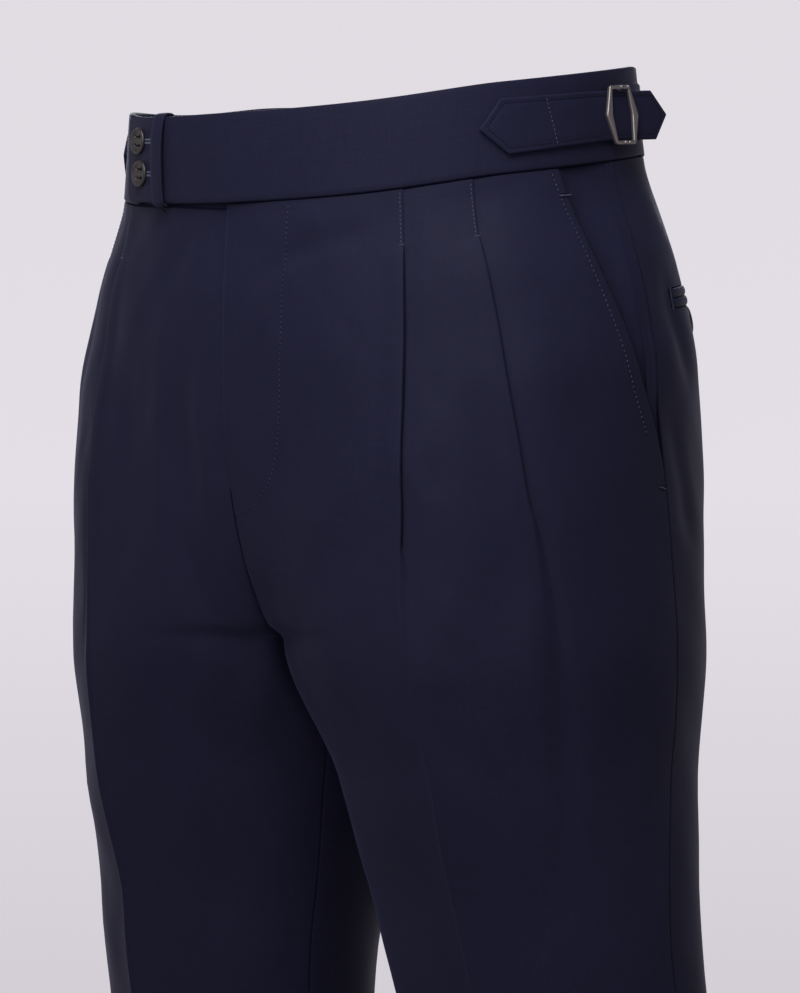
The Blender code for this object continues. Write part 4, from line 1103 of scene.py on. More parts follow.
class Strap:
    """The adjuster strap in its own measures: distance behind the tip, and height across its middle line."""

    def __init__(self):
        self.row = Rows([STRAP["height"]])
        self.lean = float(BODY("tilt", STRAP["height"]))
        self.sewn = float(self.row.distance(STRAP["tip"], STRAP["leaves"])[0])
        self.outline = np.array(STRAP_HALF_WIDTHS)
        self.length = self.outline[-1, 0]

    def half(self, distance):
        return np.interp(distance, self.outline[:, 0], self.outline[:, 1])

    def at(self, distance, across, lift):
        """Points of the strap; lift is measured from its middle."""
        distance, across, lift = np.broadcast_arrays(*(np.asarray(a, float) for a in (distance, across, lift)))
        run = distance - self.lean * across
        s = self.row.place(STRAP["tip"], run.reshape(1, -1)).reshape(run.shape)
        sewn = on_form(s, STRAP["height"] + across, STRAP["lift"] + lift)
        origin, ahead, up, normal = strap_frame(0.0)
        past = (distance - self.sewn)[..., None]
        free = origin + past * ahead + across[..., None] * up + lift[..., None] * normal
        part = smoothstep((past + 1.5) / 9.0)
        return sewn * (1 - part) + free * part

    def to_edge(self, distance, across):
        """Distance of a place from the strap's outline."""
        inside = np.full(np.shape(distance), np.inf)
        for (d0, w0), (d1, w1) in zip(self.outline[:-1], self.outline[1:]):
            length = math.hypot(d1 - d0, w1 - w0)
            gap = ((d1 - d0) * (w0 - np.abs(across)) + (w1 - w0) * (distance - d0)) / length
            near = (distance > d0 - 16) & (distance < d1 + 16)
            inside = np.where(near, np.minimum(inside, gap), inside)
        return np.maximum(inside, 0)


def build_strap(looks, side):
    """Adjuster strap, pointed at both ends: sewn to the band in front, free behind the buckle."""
    strap = Strap()
    distances = np.unique(np.concatenate([
        np.linspace(0, 3, 6), np.linspace(3, 15, 14), np.linspace(15, 112, 84),
        np.linspace(112, strap.length, 20)]))
    across = np.sin(np.linspace(-0.5, 0.5, 37) * math.pi)
    d, a = np.meshgrid(distances, across, indexing="xy")
    a = -a * strap.half(d)
    inside = strap.to_edge(d, a)
    rim = np.clip(1 - inside / 0.9, 0, 1)
    roundness = np.sqrt(1 - rim ** 2)
    dimple = 0.28 * np.exp(-((inside - STRAP_STITCH_IN) / 0.75) ** 2)
    half = STRAP["cloth"] / 2
    puff = 0.18 * smoothstep(inside / 3.0) + 0.12 * smoothstep((inside - 3.6) / 4.0)
    outer = strap.at(d, a, half * roundness + puff - dimple)
    inner = strap.at(d, a, -half * roundness)
    piece = make_piece(f"adjuster_strap_{side}", wall(outer, inner, paired(d, a)), suiting(looks),
                       side, f"strap_{side}")
    flat_size(outer)[1]


def build_loop(looks, side):
    """Flat strip under the strap that holds the buckle's bar to the band."""
    half = LOOP["width"] / 2
    low, high = BAND_PROUD + SEAM_GAP + 0.1, BAND_PROUD + SEAM_GAP + LOOP["cloth"]
    s = np.linspace(LOOP["first"], LOOP["last"], 40)
    t = np.linspace(-1, 1, 19)
    edge = np.clip((np.abs(t) * half - (half - 0.6)) / 0.6, 0, 1)
    lift = low + (high - low) * np.sqrt(1 - edge ** 2)
    h = STRAP["height"] - half * t
    outer = on_form(s, h[:, None], lift[:, None])
    inner = on_form(s, h[:, None], low)
    add_cloth(f"buckle_loop_cloth_{side}", outer, inner, paired(s * ROUND_SCALE, h[:, None]), looks, side,
              f"buckle_loop_{side}")


BUCKLE_KNOBS = [(1.1, 15.4), (6.1, 15.4), (-0.7, -15.4), (2.6, -15.4)]    # round ends of its pins
KNOB_RADIUS = 1.0
# Section of the buckle's frame, as shares of the way from its rim to its opening and of its thickness.
BUCKLE_SECTION = [(0.00, 0.06), (0.0, 0.6), (0.03, 0.8), (0.10, 0.94), (0.2, 1.0), (0.5, 1.02), (0.8, 1.0),
                  (0.90, 0.94), (0.97, 0.8), (1.0, 0.6), (1.0, 0.06), (0.93, 0.0), (0.07, 0.0)]
ROUND_SIDES = 20            # sides of the bar and the knobs


def build_buckle(looks, side):
    """Six-sided slide buckle: a bevelled frame over the strap and a bar behind it between two lugs."""
    origin, along, up, normal = strap_frame(BUCKLE["along"])
    size = BUCKLE
    rest = STRAP["cloth"] / 2 + size["gap"]

    def at(a, u, n):
        a, u, n = (np.asarray(part, float)[..., None] for part in (a, u, n))
        return origin + along * a + up * u + normal * n

    def outline(middle, end, height, radius):
        corners = np.array([(middle, 0), (end, height), (-end, height), (-middle, 0), (-end, -height),
                            (end, -height)])
        return rounded_corners(corners, radius, 7)

    outer = outline(size["half_middle"], size["half_end"], size["half_height"], 1.3)
    inner = outline(size["opening_middle"], size["opening_end"], size["opening_height"], 0.6)
    r, n = np.array(BUCKLE_SECTION).T
    rings = [at(rim[0] + (mouth[0] - rim[0]) * r, rim[1] + (mouth[1] - rim[1]) * r, rest + size["thick"] * n)
             for rim, mouth in zip(outer, inner)]
    shape = closed_ring(np.array(rings), flip=True)
    depth = -rest - size["bar_radius"]
    turns = np.linspace(0, 2 * math.pi, ROUND_SIDES, endpoint=False)
    bar = [at(size["bar_radius"] * np.cos(turns), np.full(ROUND_SIDES, u),
              depth + size["bar_radius"] * np.sin(turns))
           for u in np.linspace(-size["bar_half"], size["bar_half"], 6)]
    shape.join(sweep(bar))
    for sign in (-1, 1):
        ends = sorted(np.linspace(size["lug_in"], size["lug_out"], 5) * sign)
        bottom, top = depth - size["bar_radius"] - 0.15, rest + 0.6 * size["thick"]
        shape.join(sweep([rounded_box(at, size["lug_half"] - pull, u, bottom + pull, top - pull)
                          for u, pull in zip(ends, (0.3, 0.0, 0.0, 0.0, 0.3))]))
    for a, u in BUCKLE_KNOBS:
        profile = np.linspace(-0.45 * math.pi, 0.5 * math.pi, 8)
        knob = [at(a + KNOB_RADIUS * math.cos(t) * np.cos(turns), u + KNOB_RADIUS * math.cos(t) * np.sin(turns),
                   rest + 0.9 * size["thick"] + KNOB_RADIUS * np.full(ROUND_SIDES, math.sin(t)))
                for t in profile]
        shape.join(sweep(knob[::-1]))
    make_piece(f"slide_buckle_{side}", shape, gunmetal(looks), side, f"buckle_{side}", sharp=38.0)


def rounded_box(at, half, u, low, high):
    """Ring of a lug's section across the strap, with rounded corners."""
    radius = 0.5
    half, low, high = half - radius, low + radius, high - radius
    points = []
    for a, n, first in ((half, low, -90), (half, high, 0), (-half, high, 90), (-half, low, 180)):
        for turn in np.radians([first, first + 45, first + 90]):
            points.append((a + radius * math.cos(turn), n + radius * math.sin(turn)))
    a, n = np.array(points).T
    return at(a, np.full(len(a), u), n)


def rounded_corners(corners, radius, steps):
    """A closed outline with each corner replaced by an arc."""
    points = []
    count = len(corners)
    for i, corner in enumerate(corners):
        before, after = unit(corners[i - 1] - corner), unit(corners[(i + 1) % count] - corner)
        for t in np.linspace(0, 1, steps):
            points.append(corner + radius * (before * (1 - t) ** 2 + after * t ** 2))
    return np.array(points)


# ---- Buttons --------------------------------------------------------------------------------------------
BUTTON_PROFILE = [(0.50, 0.0), (0.80, 0.35), (0.93, 0.8), (0.99, 1.3), (1.0, 1.7), (0.985, 2.15), (0.95, 2.5),
                  (0.90, 2.68), (0.85, 2.72), (0.79, 2.62), (0.73, 2.38), (0.68, 2.12), (0.63, 1.98),
                  (0.55, 1.9), (0.47, 1.86), (0.40, 1.84), (0.33, 1.83), (0.26, 1.83), (0.19, 1.83),
                  (0.12, 1.83), (0.05, 1.83)]
BUTTON_SIDES = 96
HOLE_AWAY = 0.235           # distance of a hole from the middle, as a share of the button's radius
HOLE_RADIUS = 0.95
HOLE_DEPTH = 1.3


def build_button(looks, name, place, diameter, side="left", turn=0.0):
    """A turned four-hole button with a raised rim, and the thread through its holes."""
    origin, along, up, normal = place
    turn = math.radians(turn)
    along, normal = (along * math.cos(turn) - normal * math.sin(turn),
                     normal * math.cos(turn) + along * math.sin(turn))
    radius = diameter / 2
    turns = np.linspace(0, 2 * math.pi, BUTTON_SIDES, endpoint=False)
    reach = HOLE_AWAY * radius * math.sqrt(2)
    holes = [(reach * x, reach * y) for x in (-1, 1) for y in (-1, 1)]
    rings = []
    for part, height in BUTTON_PROFILE:
        x, y = radius * part * np.cos(turns), -radius * part * np.sin(turns)
        top = np.full(BUTTON_SIDES, height)
        if height > 1.5 and part < 0.7:
            for hx, hy in holes:
                away = np.hypot(x - hx, y - hy)
                top -= HOLE_DEPTH * smoothstep((HOLE_RADIUS - away) / (0.45 * HOLE_RADIUS) + 0.5)
        rings.append(origin + x[:, None] * along + y[:, None] * up + top[:, None] * normal)
    make_piece(f"{name}_horn", sweep(rings), horn(looks), side, name, sharp=70.0)
    thread = Shape()
    for sign in (-1, 1):
        for offset in (-0.28, 0.0, 0.28):
            points = [origin + x * reach * along + (sign * reach + offset) * up + height * normal
                      for x, height in ((-1, 1.05), (-0.6, 2.05), (0.6, 2.05), (1, 1.05))]
            thread.join(thread_tube(rounded(np.array(points), 2), WORKED_THREAD))
    # The button's thread takes the darkened thread colour: painted shade in its holes.
    make_thread(f"{name}_horn_thread", thread, looks, side, dark=True)


# ---- Thread ---------------------------------------------------------------------------------------------
THREAD_SIDES = 6
# Radii of the threads that aren't topstitching; the tack's outline and the pocket mouth's line are dark tubes of
# painted shadow.
TACK_THREAD, TACK_PAINTED_SHADOW, WORKED_THREAD, KEEPER_THREAD, MOUTH_PAINTED_SHADOW = 0.17, 0.24, 0.19, 0.18, 0.3
# Part of a stitch's length, and there its thickness and its rise over the cloth as shares of radius and sink.
STITCH_PROFILE = np.array([(0.0, 0.25, -1.0), (0.12, 0.8, -0.1), (0.35, 1.0, 0.55), (0.65, 1.0, 0.55),
                           (0.88, 0.8, -0.1), (1.0, 0.25, -1.0)])


def thread_tube(points, radius):
    """A thin round thread along a few points."""
    points = np.asarray(points, float)
    along = unit(np.gradient(points, axis=0))
    across = unit(np.cross(along, (0.31, 0.57, 0.76)))
    other = np.cross(along, across)
    turns = np.linspace(0, 2 * math.pi, THREAD_SIDES, endpoint=False)
    ends = np.ones(len(points))
    ends[[0, -1]] = 0.35
    rings = (points[:, None] + radius * ends[:, None, None]
             * (np.cos(turns)[:, None] * across[:, None] - np.sin(turns)[:, None] * other[:, None]))
    return sweep(rings)


def stitch_row(points, normals, length, gap, radius, sink=0.16, shift=0.0, slant=0.0):
    """Stitches along a line of points on the cloth; each one dips into the cloth at both ends. shift moves them
    on, in pitches, and slant turns them, in millimetres from end to end."""
    reach = reach_along(points)
    pitch = length + gap
    count = max(int((reach[-1] - gap) / pitch), 1)
    starts = gap / 2 + pitch * (np.arange(count) + shift) + 0.5 * (reach[-1] - count * pitch)
    part, thick, rise = STITCH_PROFILE.T * np.array([[1], [radius], [sink]])
    at = starts[:, None] + length * part
    centre = np.stack([np.interp(at, reach, p) for p in points.T], -1)
    out = unit(np.stack([np.interp(at, reach, n) for n in normals.T], -1))
    across = np.cross(out, unit(centre[:, -1:] - centre[:, :1]))
    centre = centre + across * (slant * (part - 0.5))[:, None]
    turns = np.linspace(0, 2 * math.pi, THREAD_SIDES, endpoint=False)
    rings = (centre + out * rise[:, None])[:, :, None] + thick[:, None, None] * (
        np.cos(turns)[:, None] * across[:, :, None] + np.sin(turns)[:, None] * out[:, :, None])
    shape = Shape()
    for stitch in rings:
        shape.join(sweep(stitch))
    return shape


def make_thread(name, shape, looks, side="left", dark=False):
    make_piece(name, shape, sewing_thread(looks, dark), side)


def topstitch(looks, name, points, normals, side, extra=(), painted_shade_extra=(), crest=1.1):
    """A row of topstitches: the light crest of each stitch, and between two of them a much darker copy of the
    thread, painted shade where it sinks into the cloth.
    """
    pitch = looks.stitch_length + looks.stitch_gap
    light = stitch_row(points, normals, 0.46 * pitch, 0.54 * pitch, crest * looks.thread_radius)
    dark = stitch_row(points, normals, 0.6 * pitch, 0.4 * pitch, 1.2 * looks.thread_radius, 0.1, 0.5, 0.5)
    for shape, parts in ((light, extra), (dark, painted_shade_extra)):
        for part in parts:
            shape.join(part)
    make_thread(name, light, looks, side)
    make_thread(f"{name}_sunk", dark, looks, side, dark=True)


def across_line(a, b, away):
    """The step (s, h) that leads away millimetres off the line from a to b."""
    along = unit((b - a) * (ROUND_SCALE, 1))
    return np.array([-along[1], along[0]]) * away / (ROUND_SCALE, 1)


def tack_painted_shadows(a, b, side, lift, away):
    """Painted shadow along both sides of a bar tack from a to b: dark threads in the darkened thread colour."""
    shape = Shape()
    for sign in (-1, 1):
        s, h = (np.linspace(a, b, 6) + sign * across_line(a, b, away)).T
        shape.join(thread_tube(on_form(s, h, lift, side), TACK_PAINTED_SHADOW))
    return shape


def cloth_line(places, side, lift, count=None):
    """Points and normals along places (s, h) on one side's cloth."""
    if count:
        places = resampled(places * (ROUND_SCALE, 1), count) / (ROUND_SCALE, 1)
    s, h = places.T
    points = on_form(s, h, lift, side)
    return points, on_form(s, h, lift + 1, side) - points


def bar_tack(a, b, side, lift, width, threads):
    """A dense bar of thread between two places, each thread lying across it."""
    shape = Shape()
    a, b = np.array(a, float), np.array(b, float)
    across = across_line(a, b, width / 2)
    for k in range(threads):
        middle = a + (b - a) * (k + 0.5) / threads
        skew = (b - a) * 0.25 / threads * (1 if k % 2 else -1)
        s, h = np.array([middle - across + skew, middle, middle + across - skew]).T
        points = on_form(s, h, lift + np.array([-0.08, 0.18, -0.08]), side)
        shape.join(thread_tube(points, TACK_THREAD))
    return shape


# ---- Sewing ---------------------------------------------------------------------------------------------
FLY_STITCHING = [(41.6, -1.0), (41.6, -14), (41.6, -32), (41.9, -50), (42.1, -68), (42.2, -86), (41.5, -104),
                 (40.6, -120), (39.2, -136), (36.6, -150), (33.0, -162), (28.6, -172), (23.0, -179),
                 (17.0, -183.5), (11.5, -186.5), (7.0, -188.5)]    # distance from the middle front, height
FLY_TACK = [(3.0, -190.5), (-0.5, -187.0)]
# The pocket's bar tacks from end to end: distance from the side seam and height, with their threads.
POCKET_TACKS = [((-45.6, -15.4), (-37.6, -15.4), 17), ((-6.2, -178.0), (-0.8, -179.5), 12)]


def places_from(start, distances, heights):
    """Places (s, h) that lie at distances from s = start."""
    return paired(Rows(heights).place(start, np.reshape(distances, (-1, 1)))[:, 0], heights)


def build_fly_stitching(looks):
    points, normals = cloth_line(places_from(0, *np.transpose(FLY_STITCHING)), "left", 0.0, 160)
    tack = bar_tack(*places_from(0, *np.transpose(FLY_TACK)), "left", 0.3, 1.2, 8)
    # The bar tack at the fly's foot goes with the darkened row: painted shade.
    topstitch(looks, "fly_stitching", points, normals, "left", painted_shade_extra=[tack], crest=0.7)


def build_pocket_stitching(looks, side):
    heights = np.linspace(-1.5, -150.0, 60)
    places = places_from(1, -SIDE_POCKET("stitching", heights), heights)
    points, normals = cloth_line(places, side, 0.0, 120)
    at_edge = places_from(1, 0.3 - SIDE_POCKET("inset", heights), heights)
    # Painted shadow: a dark tube along the inside of the pocket's mouth, where the gap under the front's edge lies
    # in shade.
    light, dark = [], [thread_tube(cloth_line(at_edge, side, -0.3)[0], MOUTH_PAINTED_SHADOW)]
    for *ends, threads in POCKET_TACKS:
        ends = places_from(1, *np.transpose(ends))
        light.append(bar_tack(*ends, side, 0.15, 1.0, threads))
        # Painted shadow beside each tack.
        dark.append(tack_painted_shadows(*ends, side, 0.12, 0.95))
    topstitch(looks, f"pocket_stitching_{side}", points, normals, side, light, dark)


def build_seam_threads(looks, side):
    """The thread that shows in the side seam and in the inseam, in the darkened thread colour: painted shade in the
    seams.
    """
    shape = Shape()
    for s, top in ((1.0, -3.0), (0.0, CROTCH - 12.0)):
        heights = np.linspace(top, HEM + 4, 400)
        points, normals = cloth_line(paired(s, heights), side, -0.25)
        shape.join(stitch_row(points, normals, 1.9, 0.7, 0.3, 0.1))
    make_thread(f"seam_threads_{side}", shape, looks, side, dark=True)


def build_pleat_stitching(looks, side):
    shape = Shape()
    for pleat in PLEATS:
        heights = np.linspace(-1.0, PLEAT_SEWN_TO, 24)
        places = places_from(0.5, pleat("place", heights) - 1.5, heights)
        points, normals = cloth_line(places, side, float(pleat("proud", -10.0)) - 0.05, 60)
        shape.join(stitch_row(points, normals, 1.5, 0.9, looks.thread_radius * 0.9))
        end = float(pleat("place", PLEAT_SEWN_TO))
        tack = places_from(0.5, [end - 2.6, end + 0.6], [PLEAT_SEWN_TO, PLEAT_SEWN_TO])
        shape.join(bar_tack(*tack, side, float(pleat("proud", PLEAT_SEWN_TO)) - 0.05, 1.0, 7))
    make_thread(f"pleat_stitching_{side}", shape, looks, side)


def build_back_pocket_stitching(looks, side):
    """A short bar across each end of the jetted pocket, and the buttonhole under it."""
    pocket = BACK_POCKET
    shape = Shape()
    for s in (pocket["front"] - 0.003, pocket["back"] + 0.003):
        shape.join(bar_tack((s, pocket["top"] + 0.8), (s, pocket["bottom"] - 0.8), side, 0.15, 1.5, 22))
    top = pocket["bottom"] - 1.5
    for x in (-0.9, 0.9):
        s = BACK_BUTTON["place"] + x / ROUND_SCALE
        shape.join(bar_tack((s, top), (s, top - 17.0), side, 0.1, 1.3, 34))
    make_thread(f"back_pocket_stitching_{side}", shape, looks, side)


def build_strap_stitching(looks, side):
    """The row of stitches inside the strap's edge and the one that holds it to the band."""
    strap = Strap()
    lift = STRAP["cloth"] / 2 + 0.02
    inset = STRAP_STITCH_IN

    def drawn_in(slope):
        """How much shorter a point is, and its corners, on a line that runs inset inside the outline."""
        return inset * math.hypot(1, slope) / slope, inset * (math.hypot(1, slope) - 1) / slope

    outline = strap.outline
    tip, corner_in = drawn_in((outline[1, 1] - outline[0, 1]) / (outline[1, 0] - outline[0, 0]))
    end_in, end_corner_in = drawn_in(outline[-2, 1] / (outline[-1, 0] - outline[-2, 0]))
    corners = (outline[1, 0] + corner_in, 45.0, 75.0, outline[-2, 0] - end_corner_in)
    line = [(tip, 0.0), *((d, strap.half(d) - inset) for d in corners), (strap.length - end_in, 0.0)]
    shape = Shape()
    for sign in (1, -1):
        d, a = resampled(np.array(line) * (1, sign), 170).T
        points = strap.at(d, a, lift)
        normals = strap.at(d, a, lift + 1) - points
        shape.join(stitch_row(points, normals, 1.5, 0.8, looks.thread_radius * 1.3))
    # The edge stitches take the darkened thread colour: painted shade in their dimples.
    make_thread(f"strap_stitching_{side}", shape, looks, side, dark=True)
    reach = strap.half(STRAP_ROW["at"]) - 1.0
    a = np.linspace(-reach, reach, 40)
    d = STRAP_ROW["at"] - STRAP_ROW["lean"] * a
    points = strap.at(d, a, lift + 0.3)
    row = stitch_row(points, strap.at(d, a, lift + 1.3) - points, 1.5, 0.9, looks.thread_radius)
    make_thread(f"strap_row_{side}", row, looks, side)


def build_buttonholes(looks):
    """Worked buttonholes on the tab: they run from under each button towards the middle front."""
    shape = Shape()
    lift = BAND_PROUD + TAB_LIFT + 0.15 + np.array([-0.05, 0.16, -0.08])
    reach = np.array([0.3, 1.0, 1.7])
    first, last = 3.0, 13.6
    for button in TAB_BUTTONS:
        stitches = [(u + np.array([0.0, 0.06, 0.12]), sign * np.array([0.25, 0.9, 1.6]))
                    for sign in (-1, 1) for u in np.linspace(first, last, 30)]
        stitches += [(last + reach * math.cos(turn), reach * math.sin(turn))
                     for turn in np.radians(np.arange(-80, 81, 20))]
        for u, h in stitches:
            points = on_form(along_band(button["place"], u), button["height"] + h, lift)
            shape.join(thread_tube(points, WORKED_THREAD))
    make_thread("tab_buttonholes", shape, looks)


def build_keeper_tack(looks):
    """The few threads that fasten the keeper's lower end at the seam, in the darkened thread colour: painted shade.
    """
    shape = Shape()
    rng = np.random.default_rng(3)
    for k in range(9):
        u = KEEPER["width"] / 2 - 0.6 + rng.uniform(-0.5, 0.5)
        h = np.array([1.5, -1.6, -3.8]) + rng.uniform(-0.4, 0.4, 3)
        s = along_band(KEEPER["place"], [u, u + 0.5, u + 0.2])
        shape.join(thread_tube(on_form(s, h, [6.6, 6.2, 3.6]), KEEPER_THREAD))
    make_thread("keeper_tack", shape, looks, dark=True)


# ---- Properties -----------------------------------------------------------------------------------------
class TrouserLooks(bpy.types.PropertyGroup):
    cloth_thickness: bpy.props.FloatProperty(
        name="Cloth thickness", description="Thickness of one layer of suiting, in millimetres", default=0.45,
        min=0.2, max=1.2)
    stitch_length: bpy.props.FloatProperty(
        name="Stitch length", description="Length of one topstitch, in millimetres", default=2.0, min=0.8,
        max=5.0)
    stitch_gap: bpy.props.FloatProperty(
        name="Stitch gap", description="Gap between topstitches, in millimetres", default=0.9, min=0.2, max=3.0)
    thread_radius: bpy.props.FloatProperty(
        name="Thread radius", description="Radius of the topstitching thread, in millimetres", default=0.2,
        min=0.05, max=0.6)
    weave_depth: bpy.props.FloatProperty(
        name="Weave depth", description="Depth of the twill's relief, in millimetres", default=0.05, min=0.0,
        max=0.3)
    twill_contrast: bpy.props.FloatProperty(
        name="Twill contrast", description="How much darker the furrows of the twill are", default=0.75,
        subtype="FACTOR", min=0.0, max=1.0)
    sheen: bpy.props.FloatProperty(
        name="Sheen", description="Soft bloom of the wool at glancing angles", default=0.04, subtype="FACTOR",
        min=0.0, max=1.0)
    cloth_shine: bpy.props.FloatProperty(
        name="Cloth shine", description="Specular level of the cloth", default=0.03, subtype="FACTOR", min=0.0,
        max=1.0)
    cloth_color: bpy.props.FloatVectorProperty(
        name="Cloth colour", description="Colour of the suiting", default=(0.0101, 0.0099, 0.0236),
        subtype="COLOR", min=0.0, max=1.0)
    sheen_color: bpy.props.FloatVectorProperty(
        name="Sheen colour", description="Tint of the wool's bloom", default=(0.45, 0.50, 0.95),
        subtype="COLOR", min=0.0, max=1.0)
    thread_color: bpy.props.FloatVectorProperty(
        name="Thread colour", description="Colour of the sewing thread", default=(0.034, 0.037, 0.064),
        subtype="COLOR", min=0.0, max=1.0)
    # Painted shade: a thread colour darker than the cloth, for stitches, seams and tacks that lie in shade.
    painted_shade_thread_color: bpy.props.FloatVectorProperty(
        name="Sunk thread colour", description="Colour of the stitches that sink into the cloth",
        default=(0.004, 0.004, 0.009), subtype="COLOR", min=0.0, max=1.0)
    button_color: bpy.props.FloatVectorProperty(
        name="Button colour", description="Colour of the horn buttons", default=(0.012, 0.0098, 0.0110),
        subtype="COLOR", min=0.0, max=1.0)
    metal_color: bpy.props.FloatVectorProperty(
        name="Buckle colour", description="Colour of the gunmetal buckles", default=(0.17, 0.145, 0.14),
        subtype="COLOR", min=0.0, max=1.0)


class StudioLooks(bpy.types.PropertyGroup):
    top_power: bpy.props.FloatProperty(
        name="Top light", description="Power of the large soft light overhead", default=20.0, min=0.0,
        unit="POWER")
    front_power: bpy.props.FloatProperty(
        name="Front light", description="Power of the soft light in front", default=8.0, min=0.0,
        unit="POWER")
    back_power: bpy.props.FloatProperty(
        name="Back light", description="Power of the soft light behind", default=15.0, min=0.0, unit="POWER")
    surround: bpy.props.FloatProperty(
        name="Surround", description="Brightness of the pale surround", default=1.0, min=0.0)
    floor_color: bpy.props.FloatVectorProperty(
        name="Floor colour", description="Colour of the studio floor", default=(0.40, 0.378, 0.405),
        subtype="COLOR", min=0.0, max=1.0)
    floor_glow: bpy.props.FloatProperty(
        name="Floor glow", description="Light of the floor itself, as from a lit studio floor", default=0.34,
        min=0.0)


# ---- Operators ------------------------------------------------------------------------------------------
class TROUSERS_OT_fronts(bpy.types.Operator):
    """Build the two pleated front panels"""
    bl_idname = "trousers.fronts"
    bl_label = "Front panels"

    def execute(self, context):
        for side in SIDES:
            build_front(context.scene.trouser_looks, side)
        return {"FINISHED"}


class TROUSERS_OT_backs(bpy.types.Operator):
    """Build the two back panels with their creases and darts"""
    bl_idname = "trousers.backs"
    bl_label = "Back panels"

    def execute(self, context):
        for side in SIDES:
            build_back(context.scene.trouser_looks, side)
        return {"FINISHED"}


class TROUSERS_OT_pockets(bpy.types.Operator):
    """Build the side pockets' facings and the back pockets' folded strips"""
    bl_idname = "trousers.pockets"
    bl_label = "Pockets"

    def execute(self, context):
        looks = context.scene.trouser_looks
        pocket = BACK_POCKET
        opening = 0.5 * (pocket["top"] + pocket["bottom"])
        for side in SIDES:
            build_facing(looks, side)
            build_jet(looks, side, "jet_upper", pocket["top"] - SEAM_GAP, opening + SEAM_GAP / 2)
            build_jet(looks, side, "jet_lower", opening - SEAM_GAP / 2, pocket["bottom"] + SEAM_GAP)
        return {"FINISHED"}


class TROUSERS_OT_hems(bpy.types.Operator):
    """Build the cloth turned up inside each leg's hem"""
    bl_idname = "trousers.hems"
    bl_label = "Hems"

    def execute(self, context):
        for side in SIDES:
            build_hem(context.scene.trouser_looks, side)
        return {"FINISHED"}


class TROUSERS_OT_waistband(bpy.types.Operator):
    """Build the waistband, its buttoned tab and the keeper over it"""
    bl_idname = "trousers.waistband"
    bl_label = "Waistband"

    def execute(self, context):
        looks = context.scene.trouser_looks
        build_band_left(looks)
        build_band_right(looks)
        build_keeper(looks)
        return {"FINISHED"}


class TROUSERS_OT_adjusters(bpy.types.Operator):
    """Build the side adjusters: strap, buckle and the loop that holds the buckle"""
    bl_idname = "trousers.adjusters"
    bl_label = "Side adjusters"

    def execute(self, context):
        looks = context.scene.trouser_looks
        for side in SIDES:
            build_strap(looks, side)
            build_loop(looks, side)
            build_buckle(looks, side)
        return {"FINISHED"}


class TROUSERS_OT_buttons(bpy.types.Operator):
    """Build the tab's and the back pockets' buttons with their threads"""
    bl_idname = "trousers.buttons"
    bl_label = "Buttons"

    def execute(self, context):
        looks = context.scene.trouser_looks
        lift = BAND_PROUD + TAB_LIFT + SEAM_GAP
        for button in TAB_BUTTONS:
            name = f"tab_button_{button['name']}"
            build_button(looks, name, frame_at(button["place"], button["height"], lift), TAB_BUTTON_DIAMETER,
                         turn=TAB_BUTTON_TURN)
        for side in SIDES:
            height = BACK_POCKET["bottom"] - BACK_BUTTON["below"]
            place = frame_at(BACK_BUTTON["place"], height, SEAM_GAP, side, 0.002)
            build_button(looks, f"back_button_{side}", place, BACK_BUTTON["diameter"], side)
        return {"FINISHED"}


class TROUSERS_OT_sewing(bpy.types.Operator):
    """Sew the fly, pockets, pleats, straps, buttonholes and tacks"""
    bl_idname = "trousers.sewing"
    bl_label = "Sewing"

    def execute(self, context):
        looks = context.scene.trouser_looks
        build_fly_stitching(looks)
        build_buttonholes(looks)
        build_keeper_tack(looks)
        for side in SIDES:
            build_pocket_stitching(looks, side)
            build_seam_threads(looks, side)
            build_pleat_stitching(looks, side)
            build_back_pocket_stitching(looks, side)
            build_strap_stitching(looks, side)
        return {"FINISHED"}


CAMERA_AZIMUTH = 43.0
CAMERA_AWAY = 2.8
CAMERA_TARGET = (0.011, -0.183)     # sideways in the picture and height, in metres
CAMERA_LENS = 177.97
LAMP_COLOR = (0.97, 1.0, 1.01)
# Each soft light: its name, size, place and target, in metres.
LAMPS = [("top", 0.8, (0.36, -0.63, 0.80), (0.02, -0.06, -0.08)),
         ("front", 0.7, (0.36, -1.31, 0.35), (0.0, -0.08, -0.02)),
         ("back", 1.0, (-0.90, 0.97, 0.50), (0.0, 0.05, -0.25))]
FLOOR_HEIGHT = -1.045
FLOOR_RINGS = (0.02, 0.7, 1.4, 2.2)
FLOOR_SIDES = 96
FLOOR_GLOW = 1.9            # brightness of the glow's colour beside the floor's own
# Colours of the surround from low to high, between two heights of the view's direction.
SURROUND_REACH = (-0.16, 0.30)
SURROUND_TONES = [
    (0.0, (0.60, 0.56, 0.61)), (0.20, (0.69, 0.655, 0.705)), (0.35, (0.775, 0.737, 0.791)),
    (0.64, (0.745, 0.71, 0.755)), (0.80, (0.30, 0.29, 0.31)), (1.0, (0.20, 0.195, 0.21))]


